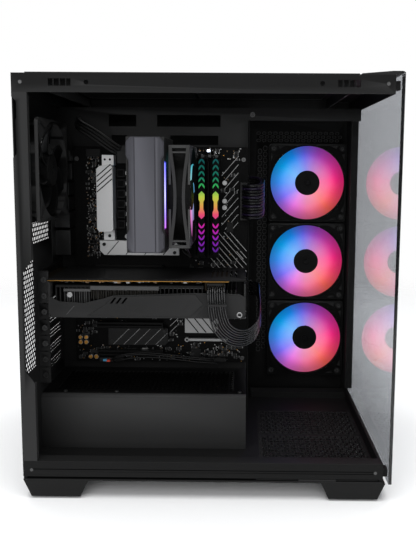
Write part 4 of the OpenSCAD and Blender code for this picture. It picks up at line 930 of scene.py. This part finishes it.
def board_large():
    b = Build()
    # Solid capacitors with vented tops
    for x, z, r in ((17, 369, 3.3), (17, 344, 3.3), (17, 335, 3.3), (-186, 150, 3.1), (-178, 150, 3.1),
                    (-186, 143, 3.1), (-178, 143, 3.1), (-172, 122, 3.1), (-164, 122, 3.1), (-118, 294, 3.3),
                    (-110, 294, 3.3), (-102, 294, 3.3)):
        ring = "gold" if x < -160 else "tin"
        b.lathe((x, z), "y", [(r + 0.9, BOARD_Y), (r + 0.9, BOARD_Y - 0.8), (r - 0.2, BOARD_Y - 0.9), (r - 0.2, BOARD_Y)],
                "component_black", 24)
        b.disc((x, z), "y", r, BOARD_Y, BOARD_Y - 8.6, "tin", 28)
        b.disc((x, z), "y", r - 0.5, BOARD_Y - 8.6, BOARD_Y - 8.95, ring, 28)
    # Chokes beside the processor
    for i in range(6):
        z = 305 + 14.2 * i
        on_board(b, -132, z, 11, 11, 6.2, "component_black")
        # Dark square on each choke's top: painted shade.
        on_board(b, -130.4, z + 1.6, 7.8, 7.8, 6.5, "gap")
        on_board(b, -120.6, z + 3, 1.1, 5, 2.2, "tin")
    on_board(b, -60, 196, 12, 12, 1.4, "component_black")
    on_board(b, 20, 300, 9, 14, 1.4, "component_black")
    on_board(b, -30, 118, 14, 14, 1.2, "component_black")
    on_board(b, -7.5, 411.5, 4, 3, 1.2, "led")
    # Crystal cans and a coin cell holder
    for x, z in ((-80, 206), (-100, 130), (-20, 200)):
        on_board(b, x, z, 8, 3.4, 2.6, "tin")
    b.done("board_large_parts", "case", ("board_components",), bevel=0.25, segments=2)


def slit_cover(b, outline, y_top, thick, mat, slits, w):
    """Flat cover with diagonal strips laid on it: painted-shade strips stand in for slits, print strips are print."""
    b.prism(outline, "y", y_top, y_top + thick, mat)
    xs = [p[0] for p in outline]
    zs = [p[1] for p in outline]
    clip = (min(xs) + 0.6, min(zs) + 0.6, max(xs) - 0.6, max(zs) - 0.6)
    for x0, z0, x1, z1, m in slits:
        d = (x1 - x0, z1 - z0)
        t0, t1 = 0.0, 1.0
        for k in (0, 1):
            if abs(d[k]) < 1e-6:
                continue
            p = (clip[k] - (x0, z0)[k]) / d[k]
            q = (clip[k + 2] - (x0, z0)[k]) / d[k]
            t0, t1 = max(t0, min(p, q)), min(t1, max(p, q))
        if t1 <= t0:
            continue
        ax, az, bx, bz = x0 + d[0] * t0, z0 + d[1] * t0, x0 + d[0] * t1, z0 + d[1] * t1
        ln = math.hypot(bx - ax, bz - az)
        nx, nz = -(bz - az) / ln * w / 2, (bx - ax) / ln * w / 2
        b.prism([(ax + nx, az + nz), (bx + nx, bz + nz), (bx - nx, bz - nz), (ax - nx, az - nz)], "y",
                y_top - 0.08, y_top + 0.4, m)


def heatsinks():
    b = Build()
    top = BOARD_Y - 25
    main = [(-156, 306), (-153, 302), (-137, 302), (-134, 305), (-134, 389), (-138, 394), (-152, 391), (-156, 387)]
    b.prism(main, "y", top + 1.6, BOARD_Y - 2, "silver_aluminium")
    # Dark strips over the heatsink are painted shade standing in for its slits.
    slits = [(-160, 352 + 7 * i, -130, 378 + 7 * i, "gap") for i in range(4)]
    slit_cover(b, main, top, 1.6, "silver_aluminium", slits, 1.5)
    # Screwed brackets above and below
    b.box((-150, BOARD_Y - 16, 392), (-134, BOARD_Y, 406), "silver_aluminium")
    # Dark discs are painted shade for the screw holes.
    b.disc((-146, 400), "y", 1.6, BOARD_Y - 16.1, BOARD_Y - 15.8, "gap", 20)
    b.disc((-139, 400), "y", 1.6, BOARD_Y - 16.1, BOARD_Y - 15.8, "gap", 20)
    b.box((-150, BOARD_Y - 10, 289), (-135, BOARD_Y, 303), "silver_aluminium")
    b.disc((-142, 295), "y", 2.2, BOARD_Y - 10.6, BOARD_Y - 9.8, "screw_black", 24)
    # Heatsink over the processor's upper power stage
    b.prism([(-128, 395), (-78, 395), (-74, 399), (-74, 411), (-128, 411)], "y", BOARD_Y - 22, BOARD_Y - 1,
            "component_black")
    b.done("power_heatsink", "case", ("vrm_heatsink",), bevel=0.6, segments=3)

    b = Build()
    cover = [(-156, 288), (-52, 288), (-46, 282), (-46, 268), (-150, 268), (-156, 274)]
    # The dark slits and screw hole on the silver covers are painted shade; the dark cover's strips are print.
    slit_cover(b, cover, BOARD_Y - 9, 8.9, "silver_aluminium",
               [(-150 + 26 * i, 264, -126 + 26 * i, 292, "gap") for i in range(4)], 1.2)
    chip = [(-38, 158), (4, 158), (8, 162), (8, 182), (-38, 182)]
    slit_cover(b, chip, BOARD_Y - 10, 9.9, "silver_dim",
               [(-46 + 11 * i, 192, -12 + 11 * i, 150, "gap") for i in range(5)], 1.6)
    b.box((-32, BOARD_Y - 6, 145.2), (22, BOARD_Y - 0.2, 148.6), "silver_dim")
    b.disc((-35.5, 147), "y", 3.2, BOARD_Y - 6.2, BOARD_Y - 0.2, "silver_dim", 24)
    b.disc((-35.5, 147), "y", 1.7, BOARD_Y - 6.4, BOARD_Y - 6.1, "gap", 20)
    dark = [(-146, 140), (-66, 140), (-62, 144), (-62, 164), (-146, 164)]
    slit_cover(b, dark, BOARD_Y - 10, 9.9, "cover_dark",
               [(-146 + 15 * i, 134, -110 + 15 * i, 170, "print") for i in range(5)], 0.5)
    for x, z in ((-141, 145), (-67, 160), (2, 178), (-150, 283), (-52, 272)):
        b.disc((x, z), "y", 2.3, BOARD_Y - 11.2, BOARD_Y - 8.8, "screw_black", 24)
    b.done("board_covers", "case", ("board_heatsinks",), bevel=0.4, segments=2)


board_print()
board_clutter()
board_large()
heatsinks()

# ---------- memory ----------

STICK_X = (-12.5, 6.1)


def memory_lights():
    b = Build()
    y0, y1 = -23.1, -19.6
    w = 3.9
    for x in STICK_X:
        b.box((x - w, y0 + 0.9, 270.5), (x + w, y1, 401.9), "light_bar")
        for k in range(5):
            z = 398.0 - 8.0 * k
            b.prism([(x - w, z - 3.6), (x, z + 1.4), (x + w, z - 3.6), (x + w, z - 0.6), (x + 2.4, z + 2.2),
                     (x, z + 3.6), (x - 2.4, z + 2.2), (x - w, z - 0.6)], "y", y0, y0 + 1.4, "stick_light")
            z = 313.0 - 8.0 * k
            b.prism([(x - w, z + 3.6), (x - w, z + 0.6), (x - 2.4, z - 2.2), (x, z - 3.6), (x + 2.4, z - 2.2),
                     (x + w, z + 0.6), (x + w, z + 3.6), (x, z - 1.4)], "y", y0, y0 + 1.4, "stick_light")
        b.prism([(x, 322), (x + w, 326), (x + w, 331), (x + 2.3, 335), (x + 2.3, 345), (x + w, 348), (x + w, 355),
                 (x, 359), (x - w, 355), (x - w, 348), (x - 2.3, 345), (x - 2.3, 335), (x - w, 331), (x - w, 326)],
                "y", y0, y0 + 1.4, "stick_light")
    b.done("memory_lights", "case", ("ram_light_bars",), bevel=0.2, segments=2)


memory_lights()

# ---------- processor cooler ----------

def cooler_parts():
    b = Build()
    y = -134.5
    outline = [(-87.5, 291), (-53.5, 291), (-48.5, 297), (-48.5, 312), (-51.5, 318), (-51.5, 398), (-48.5, 404),
               (-48.5, 419), (-53.5, 425), (-87.5, 425), (-92.5, 419), (-92.5, 404), (-89.5, 398), (-89.5, 318),
               (-92.5, 312), (-92.5, 297)]
    b.prism(outline, "y", y + 0.9, y + 3.1, "cooler_plate_grey")
    left = [(-87, 292), (-82.8, 292), (-82.8, 424), (-87, 424), (-91.5, 418.6), (-91.5, 404.5), (-88.5, 398.5),
            (-88.5, 317.5), (-91.5, 311.5), (-91.5, 297.4)]
    middle = [(-82.2, 292), (-59.2, 292), (-59.2, 424), (-82.2, 424)]
    right = [(-58.2, 292), (-54, 292), (-49.5, 297.4), (-49.5, 311.5), (-52.5, 317.5), (-52.5, 398.5),
             (-49.5, 404.5), (-49.5, 418.6), (-54, 424), (-58.2, 424)]
    for part in (left, middle, right):
        b.prism(part, "y", y, y + 1.1, "cooler_plate_grey")
    # Recessed walls beside the light strip and its twin on the left
    b.box((-91.8, y + 1.2, 318), (-89.4, y + 6, 398), "component_black")
    b.done("cooler_cover", "case", ("cooler_top_plate",), bevel=0.5, segments=3, angle=30)

    b = Build()
    b.prism([(-48.4, 318.5), (-46.6, 320), (-46.6, 396), (-48.4, 397.5)], "y", y + 1.6, y + 6, "strip_edge")
    b.prism([(-48.0, 320), (-46.9, 321), (-46.9, 395), (-48.0, 396)], "y", y + 0.4, y + 1.8, "strip_light")
    b.done("cooler_strip", "case", ("cooler_light_strip",), bevel=0.4, segments=3)

    # Slim fan whose side bars pinch in at mid height, round a dark barrel
    b = Build()
    x0, x1, cy, cz, h = -44.5, -19.5, COOL[1], COOL[2], 60.0
    for a, c in ((x0, x0 + 2.6), (x1 - 2.6, x1)):
        holes = [circle(cy, cz, 57.8, 72)]
        holes += [circle(cy + 52.5 * i, cz + 52.5 * j, 2.2, 16) for i in (-1, 1) for j in (-1, 1)]
        k = 5
        outline = [(cy - h + 2.4, cz - h), (cy + h - k, cz - h), (cy + h, cz - h + k), (cy + h, cz + h - k),
                   (cy + h - k, cz + h), (cy - h + 2.4, cz + h)]
        b.plate("x", a, c, outline, holes, "cooler_fan_grey")
    b.lathe((cy, cz), "x", [(57.6, x0), (59.4, x0), (59.4, x1), (57.6, x1)], "fan_frame_plastic", 96)
    for s, xe in ((1, x0), (-1, x1)):
        pts = []
        for i in range(17):
            t = -1 + 2 * i / 16
            pts.append((xe + s * (1.6 + 5.4 * (1 - t * t) ** 1.6), cz + t * h))
        back = [(p[0] + s * 2.4, p[1]) for p in reversed(pts)]
        near = [(p[0] - s * 1.2, p[1]) for p in pts]
        b.prism(near + back, "y", cy - h, cy - h + 5.5, "cooler_fan_grey")
    for z0, z1 in ((296, 299.4), (303.4, 305.2), (406.8, 408.6), (412.6, 416)):
        b.box((x0 + 1, cy - h + 0.2, z0), (x1 - 1, cy - h + 5, z1), "cooler_fan_grey")
    for a in (45, 135, 225, 315):
        ca, sa = math.cos(a * DEG), math.sin(a * DEG)
        p, q, n = (cy + 17 * ca, cz + 17 * sa), (cy + 58 * ca, cz + 58 * sa), (-2.5 * sa, 2.5 * ca)
        b.prism([(p[0] + n[0], p[1] + n[1]), (q[0] + n[0], q[1] + n[1]), (q[0] - n[0], q[1] - n[1]),
                 (p[0] - n[0], p[1] - n[1])], "x", x0 + 0.5, x0 + 3, "fan_frame_plastic")
    b.disc((cy, cz), "x", 20, x0, x0 + 3.4, "fan_frame_plastic", 48)
    b.done("cooler_frame", "case", ("cooler_fan_frame",), bevel=0.4, segments=2)


cooler_parts()

# ---------- graphics card ----------

def graphics_card():
    b = Build()
    x0, x1, y0, y1, z0, z1 = -198.0, 46.5, -93.6, 2.0, 204.0, 248.0
    # Lower face with the two fan openings
    b.plate("z", z0, z0 + 2, rect(x0 + 1, y0 + 1, x1 - 1, y1), [circle(c[0], c[1], 44.3, 72) for c in GPU_FANS],
            "gpu_plastic")
    for c in GPU_FANS:
        b.lathe((c[0], c[1]), "z", [(44.4, z0), (46.2, z0 - 0.0), (45.8, z0 + 3.5), (44.4, z0 + 3.5)], "gpu_dark", 72)
        b.disc((c[0], c[1]), "z", 14, z0 + 12, z0 + 15, "gpu_dark", 40)
        b.box((c[0] - 2.5, y0 + 2, z0 + 12.5), (c[0] + 2.5, c[1], z0 + 14.5), "gpu_dark")
        b.box((c[0] - 2.5, c[1], z0 + 12.5), (c[0] + 2.5, y1 - 2, z0 + 14.5), "gpu_dark")
    # Near side: faceted cover with a stepped upper edge and slanted ends
    side = [(x0 + 5, z0), (x1 - 6, z0), (x1, z0 + 6), (x1, z0 + 27), (x1 - 8, z0 + 31), (-16, z0 + 32), (-118, z0 + 28),
            (-130, z0 + 24), (-154, z0 + 18.5), (-184, z0 + 20), (x0, z0 + 27), (x0, z0 + 6)]
    b.prism(side, "y", y0 + 0.9, y0 + 3, "gpu_plastic")
    raised = [(-150, z0 + 2.5), (-22, z0 + 2.5), (-6, z0 + 18), (-16, z0 + 30.2), (-116, z0 + 26.4), (-128, z0 + 16)]
    b.prism(raised, "y", y0, y0 + 1.2, "gpu_plastic")
    end = [(-14, z0 + 2.5), (x1 - 9, z0 + 2.5), (x1 - 2, z0 + 10), (x1 - 2, z0 + 24), (x1 - 10, z0 + 29), (-8, z0 + 30),
           (1, z0 + 19)]
    b.prism(end, "y", y0 + 0.3, y0 + 1.2, "gpu_plastic")
    # Three slanted slots drawn as dark strips: painted shade.
    for k in range(3):
        xa = -122 + 7 * k
        b.prism([(xa, z0 + 18), (xa + 3.4, z0 + 18), (xa + 9.4, z0 + 26), (xa + 6, z0 + 26)], "y", y0 - 0.0, y0 + 0.6, "gap")
    for xa, xb, za, zb in ((-95.6, -83.5, 7.6, 17.7), (-33, -20.8, 9.6, 21.8), (-176, -166, 4, 15)):
        b.prism([(xa, z0 + za), (xa + 0.9, z0 + za), (xb + 0.9, z0 + zb), (xb, z0 + zb)], "y", y0, y0 + 0.6, "gpu_line")
    # Bar along the top of the fins, and the open fin block at the rear end
    b.box((-146, y0 + 2, 238.7), (-61, y0 + 8, 243.6), "gpu_bar")
    b.box((-180, y0 + 5, 236.0), (-146, y0 + 8, 239.4), "gpu_bar")
    b.box((-61, y0 + 6, 240.4), (-6, y0 + 9, 242.2), "gpu_bar")
    b.disc((-172, 232), "y", 3.4, y0 + 3.5, y0 + 6, "tin", 28)
    # Fins in the darkened fin colour: painted shade.
    for k in range(40):
        x = -145 + 2.1 * k
        b.box((x, y0 + 4, 227), (x + 0.5, y0 + 12, 238.7), "gpu_fin")
    for k in range(11):
        x = -179 + 3.0 * k
        b.box((x, y0 + 6, 222), (x + 0.9, y0 + 12, 236), "gpu_bar")
    # Far side and ends
    b.box((x0, y1 - 2.2, z0), (x1, y1, z1 - 14), "gpu_plastic")
    b.plate("x", x1 - 2, x1, [(y0 + 2, z0 + 3), (y0 + 5, z0), (y1 - 2, z0), (y1 - 2, z1), (y0 + 2, z1)],
            [rect(-80, z0 + 12, -20, z1 - 8)], "gpu_plastic")
    b.plate("x", x0, x0 + 2, rect(y0 + 2, z0, y1 - 2, z1), [rect(-78, z0 + 8, -10, z1 - 6)], "gpu_plastic")
    b.lathe((39, z0 + 5), "y", [(1.9, y0 + 0.9), (2.1, y0), (3.4, y0), (3.9, y0 + 0.9)], "tin", 28)
    # Dark disc in the screw: painted shade of its hole.
    b.disc((39, z0 + 5), "y", 2.0, y0 + 0.4, y0 + 1.2, "gap", 24)
    b.done("card_shroud", "case", ("gpu_shroud",), bevel=0.35, segments=2, angle=25)
    # Board edge, plated line and small parts along it
    b = Build()
    b.box((-198.8, -91.05, SLOT_Z - 0.3), (25.8, -90.9, SLOT_Z + 0.3), "gold")
    rng = random.Random(11)
    for _ in range(60):
        x = rng.uniform(-195, -8)
        w = rng.choice((1.5, 2.4, 4.0))
        b.box((x, -90 + rng.uniform(0, 3), SLOT_Z - 0.8 - rng.choice((0.8, 1.4, 2.2))), (x + w, -86, SLOT_Z - 0.8),
              rng.choice(("tan", "component_black", "tin", "component_black")))
    b.done("card_parts", "case")


graphics_card()

# ---------- cables ----------

GPU_ROUTE = [(10, -86, 244.5), (10, -96, 243), (10.5, -103, 232), (12.5, -104, 212), (19, -104, 194), (33, -102, 183),
             (48, -94, 181), (60, -76, 186), (66, -44, 196), (66, 0, 206), (66, 40, 212), (60, 62, 213), (40, 69, 213)]
ATX_ROUTE = [(43.5, 7, 344), (46, 1, 344), (54, -6, 344), (64, 0, 345), (69, 22, 348), (68, 46, 352), (60, 64, 354),
             (40, 69, 355)]
ARGB_ROUTE = [(-141, 10, 118.7), (-139, 5.5, 121), (-124, 4, 126), (-95, 5, 128), (-60, 7, 125), (-30, 6, 122),
              (-3, 6.5, 120), (0, 10, 118.7)]
CPU_FAN_ROUTE = [(-24, -118, 294.4), (-22, -90, 282), (-26, -50, 276), (-38, 0, 275), (-42, 9, 288), (-41.5, 14, 298)]
CPU_POWER_ROUTE = [(-186, 22, 452), (-180, 6, 446), (-166, 0, 438), (-150, -2, 428), (-136, 0, 418), (-126, 4, 412)]


def ribbon(b, route, across, count, pitch, r, mats, rows=1, n=5, fan=0.0, carry=False):
    """Wires side by side along a route; carry lets them nest through each turn instead of staying level."""
    path = smooth_path(route, n)
    ref = Vector(across)
    frames = []
    for i, p in enumerate(path):
        t = (path[min(i + 1, len(path) - 1)] - path[max(i - 1, 0)]).normalized()
        u = (ref - t * ref.dot(t)).normalized()
        if carry:
            ref = u
        frames.append((p, u, t.cross(u)))
    for row in range(rows):
        for k in range(count):
            s = (k - (count - 1) / 2) * pitch
            h = (row - (rows - 1) / 2) * 2 * r
            pts = []
            for i, (p, u, v) in enumerate(frames):
                spread = 1 + fan * math.sin(math.pi * i / (len(frames) - 1))
                wob = 0.25 * math.sin(i * 0.7 + k * 2.1 + row)
                pts.append(p + u * (s * spread) + v * (h + wob))
            b.tube(pts, r, mats[(k + row) % len(mats)], 8)


def cables():
    b = Build()
    ribbon(b, GPU_ROUTE, (1, 0.4, 0), 8, 2.7, 1.1, ["wire_gloss"], n=6, fan=0.1, carry=True)
    b.box((-1.2, -90.9, SLOT_Z - 8.6), (21.2, -86, SLOT_Z - 2.8), "component_black")
    # Comb that keeps the wires in line
    b.box((0.2, -106.0, 222), (23.0, -101.4, 224.5), "component_black")
    b.done("card_cable", "case", ("gpu_power_cable",), bevel=0.0)
    b = Build()
    # Every third wire takes the purple painted glow.
    ribbon(b, ATX_ROUTE, (0, 0, 1), 12, 3.9, 1.7, ["cable_black", "cable_black", "cable_painted_glow"], rows=2, n=6)
    b.box((38.9, 5.9, 318.4), (48.1, 8.4, 369.6), "component_black")
    b.tube(smooth_path(ARGB_ROUTE, 6), 1.1, "cable_black")
    b.tube(smooth_path([(p[0] + 2, p[1] - 2, p[2] + 3) for p in ARGB_ROUTE], 6), 0.9, "cable_black")
    b.tube(smooth_path([(p[0] + 6, p[1] - 3, p[2] - 3) for p in ARGB_ROUTE], 6), 0.9, "cable_black")
    b.tube(smooth_path(CPU_FAN_ROUTE, 6), 1.2, "cable_black")
    ribbon(b, CPU_POWER_ROUTE, (0.3, 0, 1), 4, 3.4, 1.5, ["cable_black"], rows=2, n=6, fan=0.2)
    b.box((-131, 3.5, 405), (-112, 9, 418.5), "component_black")
    b.box((-158, 10, 116), (-140, 18, 121), "component_black")
    b.box((-153, 6, 117.5), (-148, 11, 120.3), "cyan")
    b.box((-148, 6, 116.8), (-143.5, 11, 119.4), "red")
    b.done("board_leads", "case", ("board_cables",))


cables()

# ---------- floor, light, camera ----------

def stage():
    me = bpy.data.meshes.new("floor")
    s = 4.0
    me.from_pydata([(-s, -s, 0), (s, -s, 0), (s, s, 0), (-s, s, 0)], [], [(0, 1, 2, 3)])
    floor = bpy.data.objects.new("floor", me)
    bpy.context.scene.collection.objects.link(floor)
    m = bpy.data.materials.new("floor_paper")
    m.use_nodes = True
    nt = m.node_tree
    p = nt.nodes["Principled BSDF"]
    p.inputs["Base Color"].default_value = (0.9, 0.9, 0.9, 1)
    p.inputs["Roughness"].default_value = 0.6
    p.inputs["Specular IOR Level"].default_value = 0.3
    tc = node(nt, "TexCoord")
    far = node(nt, "VectorMath", operation="LENGTH")
    nt.links.new(tc.outputs["Object"], far.inputs[0])
    fade = node(nt, "MapRange", interpolation_type="SMOOTHSTEP")
    fade.inputs["From Min"].default_value = 0.75
    fade.inputs["From Max"].default_value = 1.6
    nt.links.new(far.outputs["Value"], fade.inputs["Value"])
    clear = node(nt, "BsdfTransparent")
    mix = node(nt, "MixShader")
    nt.links.new(fade.outputs[0], mix.inputs[0])
    nt.links.new(p.outputs[0], mix.inputs[1])
    nt.links.new(clear.outputs[0], mix.inputs[2])
    nt.links.new(mix.outputs[0], nt.nodes["Material Output"].inputs["Surface"])
    me.materials.append(m)

    world = bpy.data.worlds.new("studio")
    bpy.context.scene.world = world
    world.use_nodes = True
    nt = world.node_tree
    back = nt.nodes["Background"]
    back.inputs["Color"].default_value = (0.93, 0.96, 1.0, 1)
    back.inputs["Strength"].default_value = 0.36
    seen = node(nt, "Background")
    seen.inputs["Color"].default_value = (1, 1, 1, 1)
    seen.inputs["Strength"].default_value = 1.0
    path = node(nt, "LightPath")
    mix = node(nt, "MixShader")
    both = node(nt, "Math", operation="MULTIPLY_ADD")
    both.inputs[1].default_value = 0.6
    both.use_clamp = True
    nt.links.new(path.outputs["Is Transmission Ray"], both.inputs[0])
    nt.links.new(path.outputs["Is Camera Ray"], both.inputs[2])
    nt.links.new(both.outputs[0], mix.inputs[0])
    nt.links.new(back.outputs[0], mix.inputs[1])
    nt.links.new(seen.outputs[0], mix.inputs[2])
    nt.links.new(mix.outputs[0], nt.nodes["World Output"].inputs["Surface"])


def area(name, at, aim, size, watts):
    lamp = bpy.data.lights.new(name, "AREA")
    lamp.shape = "RECTANGLE"
    lamp.size, lamp.size_y = size
    lamp.energy = watts
    o = bpy.data.objects.new(name, lamp)
    bpy.context.scene.collection.objects.link(o)
    o.location = at
    o.rotation_euler = (Vector(aim) - Vector(at)).to_track_quat("-Z", "Y").to_euler()


def camera():
    """The photograph's view: just right of centre, a little above the middle, pitched 6 degrees down."""
    cam = bpy.data.cameras.new("camera")
    o = bpy.data.objects.new("camera", cam)
    bpy.context.scene.collection.objects.link(o)
    pitch, yaw, roll = 0.1116, -0.0073, 0.0067
    f = Vector((math.sin(yaw) * math.cos(pitch), math.cos(yaw) * math.cos(pitch), -math.sin(pitch)))
    right = f.cross(Vector((0, 0, 1))).normalized()
    up = right.cross(f)
    r2 = right * math.cos(roll) + up * math.sin(roll)
    u2 = up * math.cos(roll) - right * math.sin(roll)
    m = o.matrix_world.copy()
    for i in range(3):
        m[i][0], m[i][1], m[i][2] = r2[i], u2[i], -f[i]
    m[0][3], m[1][3], m[2][3] = 0.04088, -0.86978, 0.39278
    o.matrix_world = m
    cam.sensor_width = 36
    cam.lens = 41.51
    cam.shift_x, cam.shift_y = -0.0521, -0.0723
    cam.clip_start = 0.01
    bpy.context.scene.camera = o


stage()
area("key", (-0.4, -2.4, 1.3), (0, 0, 0.25), (2.4, 2.0), 34)
area("fill", (1.3, -2.1, 0.9), (0, 0, 0.25), (1.0, 1.4), 4)
area("top", (0, -0.2, 2.2), (0, 0, 0), (2.4, 2.4), 68)
camera()
bpy.context.scene.view_settings.view_transform = "Standard"
